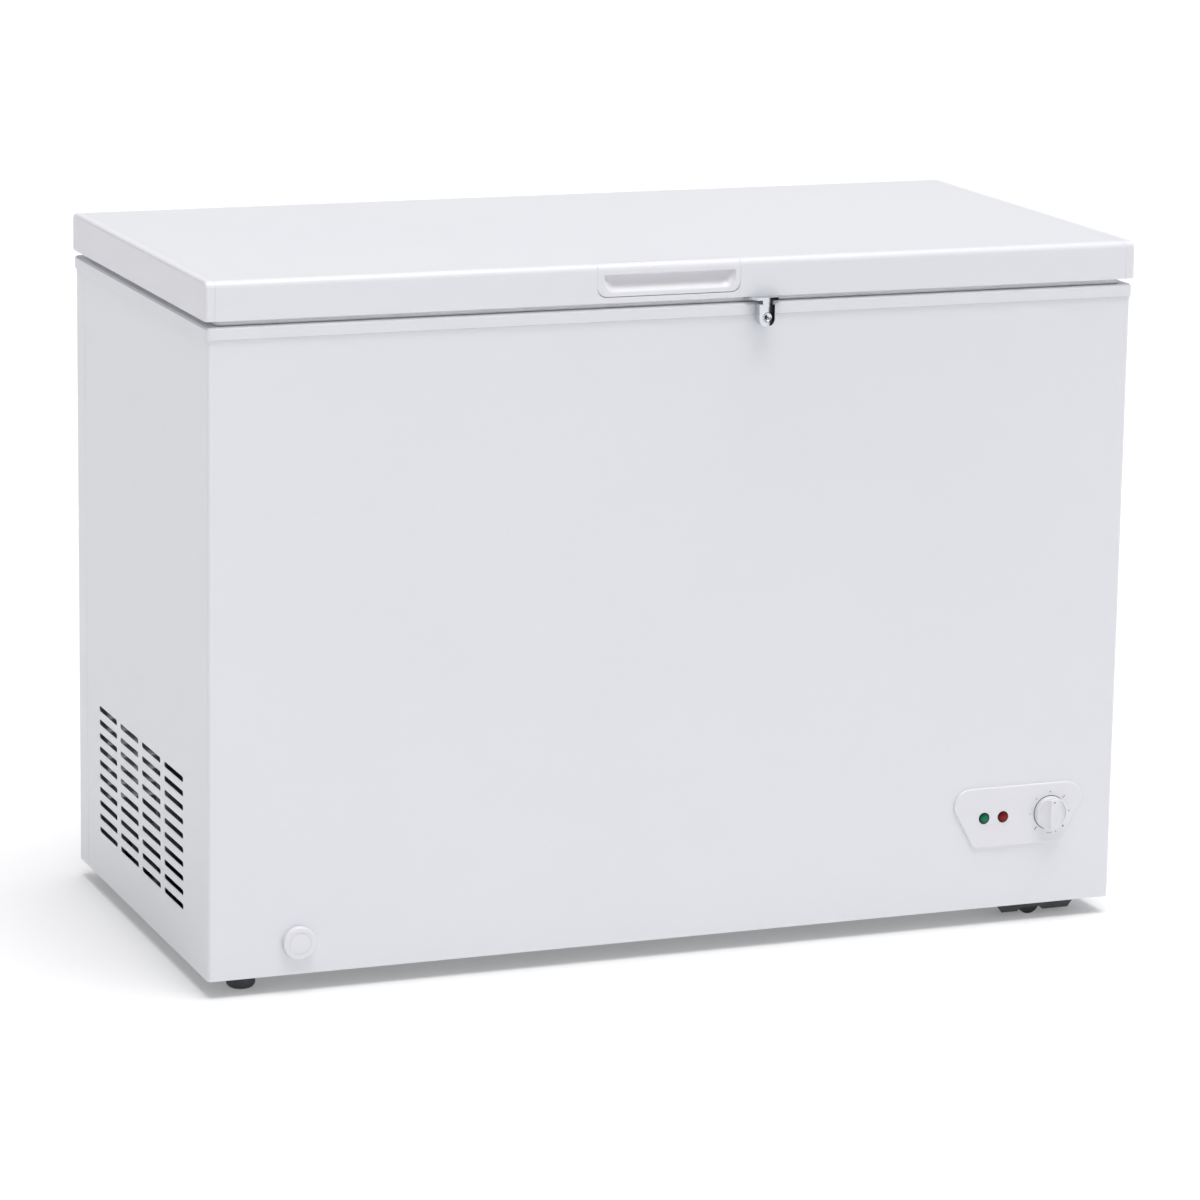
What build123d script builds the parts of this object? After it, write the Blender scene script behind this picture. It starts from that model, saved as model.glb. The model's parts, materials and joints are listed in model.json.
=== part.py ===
from build123d import *
import os

# A chest freezer with a lift-up lid. X runs to the right as the user faces it, the front faces
# -Y and Z = 0 is the floor. All sizes are millimetres.

# ---- driving dimensions ----
CABINET_WIDTH = 1124.0
CABINET_DEPTH = 544.0
CABINET_BOTTOM = 21.0     # the feet hold the cabinet this far off the floor
RIM_BOTTOM = 750.0        # plastic frame round the mouth of the tub
RIM_TOP = 764.0
LID_BOTTOM = 771.0        # the gap between rim and lid shows the gasket
LID_TOP = 815.0
RIM_PROUD = 2.0           # how far the rim stands out past the cabinet sheet
LID_PROUD = 3.0
FITTING_PROUD = 16.0      # lock and knob in front, hinges and spacers behind
SHEET = 0.8               # cabinet and tub sheet
CORNER = 4.0              # outside bend of the cabinet sheet
WALL = 55.0               # outside of the cabinet to the inside of the tub
TUB_FLOOR = 82.0
TUB_CORNER = 20.0
STEP_TOP = 320.0          # tub floor over the machine compartment
STEP_X = -290.0           # tub wall beside the machine compartment
MACHINE_X = -345.0        # right-hand wall of the machine compartment
MACHINE_TOP = 262.0
SEAM_BACK = 40.0          # the back panel wraps this far round the rear corners
PAN_UPSTAND = 18.0        # the base pan turns up this far inside the cabinet sheet
RUN = 0.05                # radial clearance of a running fit
EASE = 0.3                # clearance between pieces that only pass each other

# ---- places worked out from them ----
HALF_W = CABINET_WIDTH / 2
HALF_D = CABINET_DEPTH / 2
FRONT, REAR = -HALF_D, HALF_D
SEAM_Y = REAR - SEAM_BACK
JOGGLE_BOTTOM = CABINET_BOTTOM + PAN_UPSTAND + 1
INSIDE_X, INSIDE_Y = HALF_W - SHEET, HALF_D - SHEET
TUB_X, TUB_Y = HALF_W - WALL, HALF_D - WALL
RIM_X, RIM_Y = HALF_W + RIM_PROUD, HALF_D + RIM_PROUD
RIM_PLATE = 3.0
SHELL_TOP = RIM_TOP - RIM_PLATE
LID_X, LID_Y = HALF_W + LID_PROUD, HALF_D + LID_PROUD
LID_EDGE = 8.0            # radius of the lid's top front and rear edges
CAP_WIDTH = 11.7          # plastic end cap of the lid
SKIN_X = LID_X - CAP_WIDTH - 0.15
FRONT_MOST = FRONT - FITTING_PROUD

# machine compartment, at the left end
SLOT_ROWS, SLOT_COLUMNS = 10, 4
SLOT_LENGTH, SLOT_HEIGHT = 77.0, 6.8
SLOT_ROW_PITCH, SLOT_COLUMN_PITCH = 16.6, 92.0
SLOT_FIRST_Y, SLOT_FIRST_Z = -135.5, 81.5
LOUVRES, LOUVRE_LENGTH = 9, 150.0     # louvres of the rear cover
LOUVRE_X, LOUVRE_FIRST_Z, HOOD_OUT = -452.0, 96.0, 5.5
BASE_PLATE = 1.2
COMPRESSOR = (-452.0, 60.0)
COMPRESSOR_RX, COMPRESSOR_RY = 74.0, 62.0
COMPRESSOR_FEET = [(-70.0, -52.0), (70.0, -52.0), (-70.0, 52.0), (70.0, 52.0)]
GLAND = (-380.0, 56.0)    # X and Z of the supply-cord gland in the rear cover
GLAND_BORE = 4.2

# feet at the left end, rollers at the right end
FOOT_X, FOOT_Y = -512.0, 232.0
STUD = 4.0
ROLLER_X, ROLLER_Y, ROLLER_R, ROLLER_WIDTH = 471.0, 233.0, 14.0, 24.0
AXLE = 3.0
BRACKET_TOP, BRACKET_FOOT = (422.0, 533.0), (434.0, 521.0)
BRACKET_SHEET = 1.6

# drain: sump in the tub floor, hose under the step, outlet at the front
SUMP = (-262.0, -150.0)
SUMP_BORE = 10.0
DRAIN_X, DRAIN_Z = -456.0, 58.4
DRAIN_BORE = 8.1
CAP_R, CAP_THICK, RING_R = 19.0, 7.0, 13.0
HOSE, HOSE_BORE = 9.0, 7.0

# control panel at the lower right of the front
PANEL_X, PANEL_BOTTOM, PANEL_TOP = 437.6, 96.0, 169.0
PANEL_HALF, PANEL_HALF_BOTTOM, PANEL_SHOULDER = 83.5, 56.5, 143.5
PANEL_PROUD = 3.0
BOX_X, BOX_Z, BOX_DEPTH = (PANEL_X - 60, PANEL_X + 60), (108.0, 161.0), 42.0
LOOM_X, LOOM_Y, LOOM_Z = PANEL_X - 90, FRONT + 22, 62.0
KNOB_X, KNOB_Z, KNOB_R = 479.2, 132.7, 20.0
KNOB_RIM, GRIP_HALF = 1.8, 4.2
SCOOP_REACH, SCOOP_RISE = 11.3, 5.5   # from the bar's edge to the middle of the scoop's arc
DISH_R = 20.9
LAMP_Z, GREEN_X, RED_X, LAMP_R = 132.2, 393.2, 417.8, 7.0
SHAFT = 3.0

# lid handle
BEZEL_X = (-107.4, 65.9)
BEZEL_BOTTOM, BEZEL_CORNER, BEZEL_BACK = 777.5, 11.0, 13.0
POCKET_X, POCKET_Z = (-99.7, 58.0), (783.0, 803.0)
POCKET_DEPTH, POCKET_CORNER = 24.0, 12.0

# lock under the lid's front edge
LOCK_X, LOCK_BARREL_Z, LOCK_BOTTOM = 94.5, 748.5, 737.0
TAB_HALF, TAB_DEPTH = 9.85, 12.0
FLANGE_THICK, FLANGE_REAR_HALF, FLANGE_FRONT_HALF = 3.0, 21.5, 13.0
BARREL, BOLT = 5.8, 3.5
LOCK_TRAVEL = 7.0
SCREW_X = 15.0

# hinges
HINGE_XS = (-400.0, 400.0)
HINGE_Y, HINGE_Z = 282.0, RIM_TOP
HINGE_PIN, KNUCKLE = 2.5, 5.5
CHANNEL_HALF, CHANNEL_WALL = 18.0, 2.0
CHANNEL_BOTTOM, CHANNEL_TOP = 640.0, 746.0
CRANK, CRANK_TIP = 6.0, 2.5
PLUNGER_GAP, PLUNGER_R = 1.2, 5.5
PLUNGER_TOP = HINGE_Z - CRANK - CRANK_TIP - PLUNGER_GAP
PLUNGER_BOTTOM = 742.0
SPRING_WIRE, SPRING_R, SPRING_TURNS = 1.1, 4.2, 13
SPRING_BOTTOM = 648.0

# gasket, lid liner and basket
GASKET_X, GASKET_Y, GASKET_WIDTH = 551.0, 266.0, 14.0
LINER_PLATE = 1.5
PLUG_X, PLUG_Y, PLUG_BOTTOM = 494.0, 204.0, 756.0
LEDGE, LEDGE_TOP = 8.0, 741.0
BASKET_X, BASKET_Y, BASKET_Z = (-490.0, -250.0), 196.0, (520.0, 737.0)
BASKET_WALL, BASKET_TAPER = 3.2, 8.0


# ---- building blocks ----
def block(x, y, z):
    """A box between the (low, high) limits on each axis."""
    spans = (x, y, z)
    size = [high - low for low, high in spans]
    middle = [(low + high) / 2 for low, high in spans]
    return Pos(*middle) * Box(*size)


def column(half_x, half_y, corner, z):
    """A solid with a rounded rectangular plan, centred on the cabinet."""
    plan = RectangleRounded(2 * half_x, 2 * half_y, corner)
    return Pos(0, 0, z[0]) * extrude(plan, z[1] - z[0])


def rod(radius, start, end):
    """A round bar between two points."""
    along = Vector(*end) - Vector(*start)
    middle = (Vector(*start) + Vector(*end)) / 2
    return Plane(origin=middle, z_dir=along) * Cylinder(radius, along.length)


def bent_tube(radius, points, bend):
    """A round bar along straight runs joined by bends of one radius."""
    path = FilletPolyline(*points, radius=bend)
    return sweep((path ^ 0) * Circle(radius), path=path)


def front_prism(outline, y):
    """Extrudes a sketch drawn in X and Z between two Y values."""
    plane = Plane(origin=(0, y[0], 0), x_dir=(1, 0, 0), z_dir=(0, -1, 0))
    return extrude(plane * outline, -(y[1] - y[0]))


def side_prism(outline, x):
    """Extrudes a sketch drawn in Y and Z between two X values."""
    plane = Plane(origin=(x[0], 0, 0), x_dir=(0, 1, 0), z_dir=(1, 0, 0))
    return extrude(plane * outline, x[1] - x[0])


def rounded_front(x, z, corner):
    """A rounded rectangle in X and Z."""
    return Pos((x[0] + x[1]) / 2, (z[0] + z[1]) / 2) * RectangleRounded(
        x[1] - x[0], z[1] - z[0], corner
    )


def group(solids):
    """Several loose solids of one node."""
    return Compound(children=list(solids))


def screw(x, y, z, axis, length, radius=2.0, head=4.0, head_height=1.5):
    """A pan-head screw whose head sits on (x, y, z) and whose shank runs along axis."""
    seat, along = Vector(x, y, z), Vector(*axis)
    shank = rod(radius, tuple(seat), tuple(seat + along * length))
    cap = rod(head, tuple(seat - along * head_height), tuple(seat))
    return shank + cap


# ---- cabinet sheet metal ----
def cabinet_wrap(half_x, half_y, corner, z):
    """One thickness of sheet round the whole plan of the cabinet."""
    return column(half_x, half_y, corner, z) - column(
        half_x - SHEET, half_y - SHEET, corner - SHEET, z
    )


def grille_slots():
    """The vent slots, drawn in Y and Z."""
    slots = Sketch()
    for column_index in range(SLOT_COLUMNS):
        for row in range(SLOT_ROWS):
            y = SLOT_FIRST_Y + column_index * SLOT_COLUMN_PITCH
            z = SLOT_FIRST_Z + row * SLOT_ROW_PITCH
            slots += Pos(y, z) * SlotOverall(SLOT_LENGTH, SLOT_HEIGHT)
    return slots


def panel_opening():
    """The hole in the front sheet that the control box fits."""
    return block(BOX_X, (FRONT - 1, FRONT + 2), BOX_Z)


def outer_shell():
    wrap = cabinet_wrap(HALF_W, HALF_D, CORNER, (CABINET_BOTTOM, SHELL_TOP))
    wrap -= block((-HALF_W - 1, HALF_W + 1), (SEAM_Y, REAR + 1), (0, RIM_TOP))
    wrap -= side_prism(grille_slots(), (-HALF_W - 1, -INSIDE_X + 1))
    wrap -= panel_opening()
    wrap -= rod(DRAIN_BORE + 3, (DRAIN_X, FRONT - 1, DRAIN_Z), (DRAIN_X, FRONT + 2, DRAIN_Z))
    wrap -= rod(5.0, (LOCK_X, FRONT - 1, LOCK_BARREL_Z), (LOCK_X, FRONT + 2, LOCK_BARREL_Z))
    return wrap


def back_panel():
    wrap = cabinet_wrap(HALF_W, HALF_D, CORNER, (CABINET_BOTTOM, SHELL_TOP))
    wrap -= block((-HALF_W - 1, HALF_W + 1), (FRONT - 1, SEAM_Y + 0.8), (0, RIM_TOP))
    joggle = cabinet_wrap(INSIDE_X, HALF_D, CORNER, (JOGGLE_BOTTOM, SHELL_TOP))
    keep = block((-HALF_W, HALF_W), (SEAM_Y - 12, SEAM_Y + 0.8), (0, RIM_TOP))
    tongue = block((-HALF_W, HALF_W), (SEAM_Y + 0.8, SEAM_Y + 3), (0, RIM_TOP))
    wrap += joggle & (keep + tongue)
    wrap -= block((-545, -358), (REAR - 2, REAR + 1), (38, 247))
    return wrap - rear_screw_holes()


def base_pan():
    """Floor sheet under the insulation, with a raised pocket over each roller."""
    half_x, half_y = INSIDE_X, INSIDE_Y
    keep = block((MACHINE_X + SHEET, half_x + 1), (-half_y - 1, half_y + 1), (0, 60))
    pan = column(half_x, half_y, CORNER - SHEET, (CABINET_BOTTOM, CABINET_BOTTOM + PAN_UPSTAND))
    pan -= column(half_x - SHEET, half_y - SHEET, CORNER - 2 * SHEET,
                  (CABINET_BOTTOM + SHEET, CABINET_BOTTOM + PAN_UPSTAND + 1))
    pan &= keep
    for side in (-1, 1):
        pan += roller_pocket(side, 0) - roller_pocket(side, SHEET)
        pan -= roller_pocket(side, SHEET)
    return pan


def roller_pocket(side, inset):
    """Space for the top of a roller in the base, less the sheet it is pressed from."""
    x = (ROLLER_X - 19 + inset, ROLLER_X + 19 - inset)
    y = (side * ROLLER_Y - 17 + inset, side * ROLLER_Y + 17 - inset)
    return block(x, y, (CABINET_BOTTOM - inset, CABINET_BOTTOM + 10 - inset))


def machine_base_plate():
    """Plate that carries the compressor and the feet, with a weld nut over each foot."""
    z = (CABINET_BOTTOM, CABINET_BOTTOM + BASE_PLATE)
    plate = column(INSIDE_X, INSIDE_Y, CORNER - SHEET, z)
    plate &= block((-HALF_W, MACHINE_X - 0.2), (FRONT, REAR), z)
    for side in (-1, 1):
        nut = extrude(RegularPolygon(7.5, 6), 6.5)
        plate += Pos(FOOT_X, side * FOOT_Y, z[1]) * nut
    for side in (-1, 1):
        centre = (FOOT_X, side * FOOT_Y)
        plate -= rod(STUD + RUN, (*centre, 0), (*centre, 60))
    for x, y in COMPRESSOR_FEET:
        centre = (COMPRESSOR[0] + x, COMPRESSOR[1] + y)
        plate -= rod(3.2, (*centre, 0), (*centre, 60))
    return plate


def machine_compartment_wall():
    """Bent sheet between the machine compartment and the insulation."""
    wall = block((-INSIDE_X, MACHINE_X + SHEET), (-INSIDE_Y, INSIDE_Y),
                 (CABINET_BOTTOM + BASE_PLATE, MACHINE_TOP + SHEET))
    wall -= block((-HALF_W, MACHINE_X), (-HALF_D, HALF_D), (0, MACHINE_TOP))
    wall -= rod(HOSE + 1, (MACHINE_X - 5, SUMP[1], DRAIN_Z), (MACHINE_X + 5, SUMP[1], DRAIN_Z))
    wall -= block((MACHINE_X - 5, MACHINE_X + 5), (132, 170), (184, 210))
    wall -= rod(5.0, (MACHINE_X - 5, LOOM_Y, LOOM_Z), (MACHINE_X + 5, LOOM_Y, LOOM_Z))
    return trim_rear_wrap(wall)


def trim_rear_wrap(solid):
    """Keeps a piece clear of the sheet joggled inside the cabinet at the rear seam."""
    for side in (-1, 1):
        edge = sorted((side * HALF_W, side * (INSIDE_X - SHEET - 0.1)))
        solid -= block(edge, (SEAM_Y - 12.1, SEAM_Y + 3.1), (JOGGLE_BOTTOM - 0.1, RIM_TOP))
    for side_x in (-1, 1):
        for side_y in (-1, 1):
            x = sorted((side_x * (INSIDE_X - CORNER), side_x * (HALF_W + 1)))
            y = sorted((side_y * (INSIDE_Y - CORNER), side_y * (HALF_D + 1)))
            corner = block(x, y, (0, RIM_TOP + 60))
            corner -= column(INSIDE_X, INSIDE_Y, CORNER, (-1, RIM_TOP + 61))
            solid -= corner
    return solid


def machine_rear_cover():
    """Louvred plate over the rear opening of the machine compartment."""
    cover = front_prism(rounded_front((-553, -350), (30, 255), 4.0), (REAR, REAR + SHEET))
    louvres = Sketch()
    for row in range(LOUVRES):
        louvres += Pos(LOUVRE_X, LOUVRE_FIRST_Z + row * SLOT_ROW_PITCH) * SlotOverall(LOUVRE_LENGTH, 6)
    cover -= front_prism(louvres, (REAR - 1, REAR + 2))
    cover -= rod(7.0, (GLAND[0], REAR - 1, GLAND[1]), (GLAND[0], REAR + 2, GLAND[1]))
    for x, z in cover_screw_places():
        cover -= rod(2.1, (x, REAR - 1, z), (x, REAR + 2, z))
    for row in range(LOUVRES):
        cover += louvre_hood(LOUVRE_FIRST_Z + row * SLOT_ROW_PITCH)
    return cover


def louvre_hood(z):
    """Pressed hood over one louvre, open underneath."""
    half, out = LOUVRE_LENGTH / 2 + 1.5, REAR + HOOD_OUT
    hood = block((LOUVRE_X - half, LOUVRE_X + half), (REAR, out), (z - 4.0, z + 4.8))
    top = hood.edges().filter_by(Axis.X).group_by(Axis.Y)[-1].sort_by(Axis.Z)[-1]
    hood = fillet(top, HOOD_OUT - 1.0)
    room = half - SHEET
    return hood - block((LOUVRE_X - room, LOUVRE_X + room), (REAR - 1, out - SHEET), (z - 5.0, z + 4.0))


def cover_screw_places():
    return [(x, z) for x in (-549.0, -354.0) for z in (44.0, 241.0)]


# ---- tub and insulation ----
def tub(grow):
    """The inside of the tub, grown outwards by grow, with the step over the machinery."""
    z_top = SHELL_TOP
    corner = TUB_CORNER + grow
    floor, step = TUB_FLOOR - grow, STEP_TOP - grow
    upper = column(TUB_X + grow, TUB_Y + grow, corner, (step, z_top))
    width = TUB_X - STEP_X + 2 * grow
    plan = RectangleRounded(width, 2 * (TUB_Y + grow), corner)
    lower = Pos((TUB_X + STEP_X) / 2, 0, floor) * extrude(plan, z_top - floor)
    return upper + lower


def inner_liner():
    liner = tub(SHEET) - tub(0)
    return liner - rod(SUMP_BORE + RUN, (*SUMP, TUB_FLOOR - 5), (*SUMP, TUB_FLOOR + 5))


EVAPORATOR_LEVELS = [400.0 + 55.0 * level for level in range(6)]
CONDENSER_LEVELS = [220.0 + 110.0 * level for level in range(5)]
EVAPORATOR_R, CONDENSER_R = 4.0, 2.4
EVAPORATOR_BEND, CONDENSER_BEND = 16.0, 14.0


def serpentine_points(x, y, levels):
    """Runs round three sides at each level, rising at alternate ends."""
    points = []
    for number, z in enumerate(levels):
        there = [(x[0], y, z), (x[1], y, z), (x[1], -y, z), (x[0], -y, z)]
        points += there if number % 2 == 0 else there[::-1]
    return points


def serpentine_channel(x, y, levels, radius, bend):
    """Square groove in the insulation that holds a serpentine tube."""
    r = radius + 0.1
    groove = Part()
    for z in levels:
        outer = block((x[0] - r, x[1] + r), (-y - r, y + r), (z - r, z + r))
        groove += outer - block((x[0] - 2 * r, x[1] - r), (-y + r, y - r), (z - 2 * r, z + 2 * r))
        for side in (-1, 1):
            corner_y = sorted((side * (y + r), side * (y - bend - r)))
            groove += block((x[1] - bend - r, x[1] + r), corner_y, (z - r, z + r))
    for number, (low, high) in enumerate(zip(levels, levels[1:])):
        side = -y if number % 2 == 0 else y
        groove += block((x[0] - r, x[0] + bend + r), (side - r, side + r), (low - r, high + r))
    return groove


EVAPORATOR_X = (-TUB_X + 40, TUB_X + SHEET + EVAPORATOR_R + 0.1)
EVAPORATOR_Y = TUB_Y + SHEET + EVAPORATOR_R + 0.1
CONDENSER_X = (MACHINE_X + 15, INSIDE_X - SHEET - CONDENSER_R - 0.1)
CONDENSER_Y = INSIDE_Y - SHEET - CONDENSER_R - 0.1


def evaporator_coil():
    points = serpentine_points(EVAPORATOR_X, EVAPORATOR_Y, EVAPORATOR_LEVELS)
    return bent_tube(EVAPORATOR_R, points, EVAPORATOR_BEND)


def condenser_coil():
    points = serpentine_points(CONDENSER_X, CONDENSER_Y, CONDENSER_LEVELS)
    return bent_tube(CONDENSER_R, points, CONDENSER_BEND)


def foam_hollows():
    """The straight-sided room that the foam leaves for the tub: over the step, and beside it."""
    x, y = TUB_X + SHEET, TUB_Y + SHEET
    upper = block((-x, x), (-y, y), (STEP_TOP - SHEET, SHELL_TOP + 1))
    return upper + block((STEP_X - SHEET, x), (-y, y), (TUB_FLOOR - SHEET, STEP_TOP))


def foam_blocks():
    """Boxes that part the foam into its floor, its step and its walls."""
    x, y = TUB_X + SHEET, TUB_Y + SHEET
    floor, step, step_x = TUB_FLOOR - SHEET, STEP_TOP - SHEET, STEP_X - SHEET
    depth = (-HALF_D, HALF_D)
    boxes = [block((MACHINE_X, HALF_W), depth, (CABINET_BOTTOM, floor)),
             block((MACHINE_X, step_x), depth, (floor, MACHINE_TOP)),
             block((-HALF_W, step_x), depth, (MACHINE_TOP, step))]
    for side in (-1, 1):
        long_wall = sorted((side * y, side * HALF_D))
        boxes.append(block((step_x, HALF_W), long_wall, (floor, step)))
        boxes.append(block((-HALF_W, HALF_W), long_wall, (step, SHELL_TOP)))
    boxes.append(block((-HALF_W, -x), (-y, y), (step, SHELL_TOP)))
    boxes.append(block((x, HALF_W), (-y, y), (floor, SHELL_TOP)))
    return boxes


def body_foam():
    """Foam insulation between the cabinet sheet and the tub, as blocks that meet face to face."""
    foam = column(INSIDE_X, INSIDE_Y, CORNER - SHEET, (CABINET_BOTTOM + SHEET, SHELL_TOP))
    foam -= foam_hollows()
    foam -= block((-HALF_W, MACHINE_X + SHEET), (-HALF_D, HALF_D), (0, MACHINE_TOP + SHEET))
    foam -= serpentine_channel(EVAPORATOR_X, EVAPORATOR_Y, EVAPORATOR_LEVELS, EVAPORATOR_R,
                               EVAPORATOR_BEND)
    foam -= serpentine_channel(CONDENSER_X, CONDENSER_Y, CONDENSER_LEVELS, CONDENSER_R,
                               CONDENSER_BEND)
    foam -= rear_screw_holes()
    half_x, half_y = INSIDE_X - SHEET, INSIDE_Y - SHEET
    upstand = column(INSIDE_X + 1, INSIDE_Y + 1, CORNER, (0, CABINET_BOTTOM + PAN_UPSTAND))
    upstand -= column(half_x, half_y, CORNER - 2 * SHEET, (-1, CABINET_BOTTOM + PAN_UPSTAND + 1))
    foam -= upstand
    for side in (-1, 1):
        foam -= roller_pocket(side, 0)
    foam -= block(BOX_X, (FRONT, FRONT + BOX_DEPTH), BOX_Z)
    foam -= rod(6.0, (LOCK_X, FRONT, LOCK_BARREL_Z), (LOCK_X, FRONT + 10, LOCK_BARREL_Z))
    foam -= block((MACHINE_X - 1, SUMP[0] + 15), (SUMP[1] - 15, SUMP[1] + 15),
                  (DRAIN_Z - 12, TUB_FLOOR - SHEET))
    for part in (sensor_tube(0.3), wiring_loom(0.3), suction_tube(0.3), capillary_tube(0.3)):
        foam -= part
    foam = trim_rear_wrap(foam)
    return group([piece for box in foam_blocks() for piece in (foam & box).solids()])


def top_rim():
    """Moulded frame that caps the wall: outer skirt, top plate, inner lip and basket ledge."""
    rim = column(RIM_X, RIM_Y, 6.0, (RIM_BOTTOM, RIM_TOP))
    rim = chamfer(rim.edges().group_by(Axis.Z)[-1], 2.2)
    rim += column(HALF_W + 0.8, HALF_D + 0.8, CORNER + 0.8, (RIM_BOTTOM - 2.5, RIM_BOTTOM))
    rim += front_prism(rounded_front((LOCK_X - 8, LOCK_X + 8), (741, 752), 2.0),
                       (-RIM_Y, -RIM_Y + RIM_PROUD))
    rim -= column(HALF_W, HALF_D, CORNER, (0, SHELL_TOP))
    lip = column(TUB_X, TUB_Y, TUB_CORNER, (LEDGE_TOP - 3, RIM_TOP))
    rim += lip
    rim -= column(TUB_X - 2, TUB_Y - 2, TUB_CORNER - 2, (LEDGE_TOP, RIM_TOP + 1))
    rim -= column(TUB_X - LEDGE, TUB_Y - LEDGE, TUB_CORNER - LEDGE, (0, RIM_TOP + 1))
    rim -= rod(4.2, (LOCK_X, -RIM_Y - 1, LOCK_BARREL_Z), (LOCK_X, FRONT + 1, LOCK_BARREL_Z))
    for x in HINGE_XS:
        rim -= block((x - 13, x + 13), (REAR + 0.5, REAR + 5), (RIM_BOTTOM - 5, RIM_TOP + 1))
    return rim


# ---- machine compartment ----
def compressor_shell():
    """Hermetic shell of two pressed cans with a weld flange and a pinched process stub."""
    x, y = COMPRESSOR
    can = extrude(Ellipse(COMPRESSOR_RX, COMPRESSOR_RY), 150)
    can = fillet(can.edges(), 30.0)
    flange = Pos(0, 0, 74) * extrude(Ellipse(COMPRESSOR_RX + 3, COMPRESSOR_RY + 3), 3.5)
    shell = Pos(x, y, 40) * (can + flange)
    shell += rod(3.2, (x - 40, y - 30, 150), (x - 40, y - 30, 226))
    plate = Pos(x, y, 36) * extrude(RectangleRounded(168, 128, 16), 4)
    for dx, dy in COMPRESSOR_FEET:
        plate -= rod(5.0, (x + dx, y + dy, 30), (x + dx, y + dy, 45))
    core = Pos(x, y, 40) * extrude(Ellipse(COMPRESSOR_RX - 34, COMPRESSOR_RY - 34), 20)
    return shell + plate + core


def terminal_cover():
    x, y = COMPRESSOR
    front = y - COMPRESSOR_RY - 22
    cover = front_prism(rounded_front((x - 27, x + 27), (70, 132), 6.0), (front, y - 40))
    cover = fillet(cover.edges().group_by(Axis.Y)[0], 3.0)
    can = extrude(Ellipse(COMPRESSOR_RX + EASE, COMPRESSOR_RY + EASE), 130)
    weld = extrude(Ellipse(COMPRESSOR_RX + 3 + EASE, COMPRESSOR_RY + 3 + EASE), 4.1)
    return cover - Pos(x, y, 30) * can - Pos(x, y, 113.7) * weld


def compressor_grommets():
    """Rubber mounts: a wide foot, a neck through the plate and a top flange."""
    z = CABINET_BOTTOM + BASE_PLATE
    rings = []
    for dx, dy in COMPRESSOR_FEET:
        centre = (COMPRESSOR[0] + dx, COMPRESSOR[1] + dy)
        ring = rod(10.0, (*centre, z), (*centre, 36)) + rod(5.0, (*centre, 36), (*centre, 40))
        ring += rod(9.0, (*centre, 40), (*centre, 44))
        rings.append(ring - rod(3.0, (*centre, 0), (*centre, 60)))
    return group(rings)


def compressor_bolts():
    bolts = []
    for dx, dy in COMPRESSOR_FEET:
        centre = (COMPRESSOR[0] + dx, COMPRESSOR[1] + dy)
        bolt = rod(2.9, (*centre, 19.4), (*centre, 50))
        bolt += Pos(*centre, 44) * extrude(RegularPolygon(5.8, 6), 5)
        bolt += rod(6.0, (*centre, 18), (*centre, CABINET_BOTTOM))
        bolts.append(bolt)
    return group(bolts)


def suction_tube(grow=0.0):
    """Return line from the evaporator to the compressor."""
    x, y = COMPRESSOR
    points = [(x + 40, y + 30, 160), (x + 40, y + 30, 200), (x + 40, 160, 200),
              (MACHINE_X + 30, 160, 200)]
    return bent_tube(4.0 + grow, points, 14.0) - compressor_shell()


def discharge_tube():
    """Hot line from the compressor to the filter drier's side of the compartment."""
    x, y = COMPRESSOR
    points = [(x - 20, y + 40, 160), (x - 20, y + 40, 232), (x - 20, 222, 232),
              (MACHINE_X - 12, 222, 232), (MACHINE_X - 12, 222, 205)]
    return bent_tube(2.6, points, 12.0) - compressor_shell()


DRIER = (-372.0, 192.0)


def filter_drier():
    x, y = DRIER
    profile = Polyline((0, 92), (3.2, 92), (3.2, 104), (10, 114), (10, 176), (3.2, 186),
                       (3.2, 198), (0, 198), close=True)
    body = revolve(Plane.XZ * make_face(profile), Axis.Z)
    return Pos(x, y, 0) * body


def capillary_tube(grow=0.0):
    """Thin expansion tube from the drier into the insulation."""
    x, y = DRIER
    points = [(x, y, 92), (x, y, 72), (x, 140, 72), (x, 140, 190), (MACHINE_X + 30, 140, 190)]
    return bent_tube(1.3 + grow, points, 8.0)


def cord_gland():
    """Bushing for the supply cord, pressed into the rear cover."""
    x, z = GLAND
    gland = rod(7.0, (x, REAR - 6, z), (x, REAR + 6, z))
    gland += rod(10.0, (x, REAR + SHEET, z), (x, REAR + 6, z))
    gland += rod(8.6, (x, REAR - 6, z), (x, REAR - SHEET - 2.0, z))
    return gland - rod(GLAND_BORE, (x, REAR - 8, z), (x, REAR + 8, z))


# ---- drain ----
def drain_hose():
    x, y = SUMP
    points = [(x, y, TUB_FLOOR - SHEET), (x, y, DRAIN_Z), (DRAIN_X, y, DRAIN_Z),
              (DRAIN_X, FRONT + 14, DRAIN_Z)]
    hose = bent_tube(HOSE, points, 11.0) - bent_tube(HOSE_BORE, points, 11.0)
    return hose - block((x - 12, x + 12), (y - 12, y + 12), (TUB_FLOOR - 8, TUB_FLOOR + 5))


def drain_sump():
    """Plastic socket under the tub floor that takes the bung and the hose."""
    x, y = SUMP
    top = TUB_FLOOR - SHEET
    socket = rod(13.0, (x, y, top - 1.5), (x, y, top))
    socket += rod(11.6, (x, y, TUB_FLOOR - 8), (x, y, top))
    return socket - rod(SUMP_BORE + RUN, (x, y, TUB_FLOOR - 12), (x, y, top + 1))


def drain_outlet():
    """Flanged spout behind the front sheet."""
    x, z = DRAIN_X, DRAIN_Z
    spout = rod(15.0, (x, FRONT + SHEET, z), (x, FRONT + SHEET + 2, z))
    spout += rod(11.0, (x, FRONT, z), (x, FRONT + 14, z))
    return spout - rod(DRAIN_BORE, (x, FRONT - 1, z), (x, FRONT + 15, z))


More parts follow.
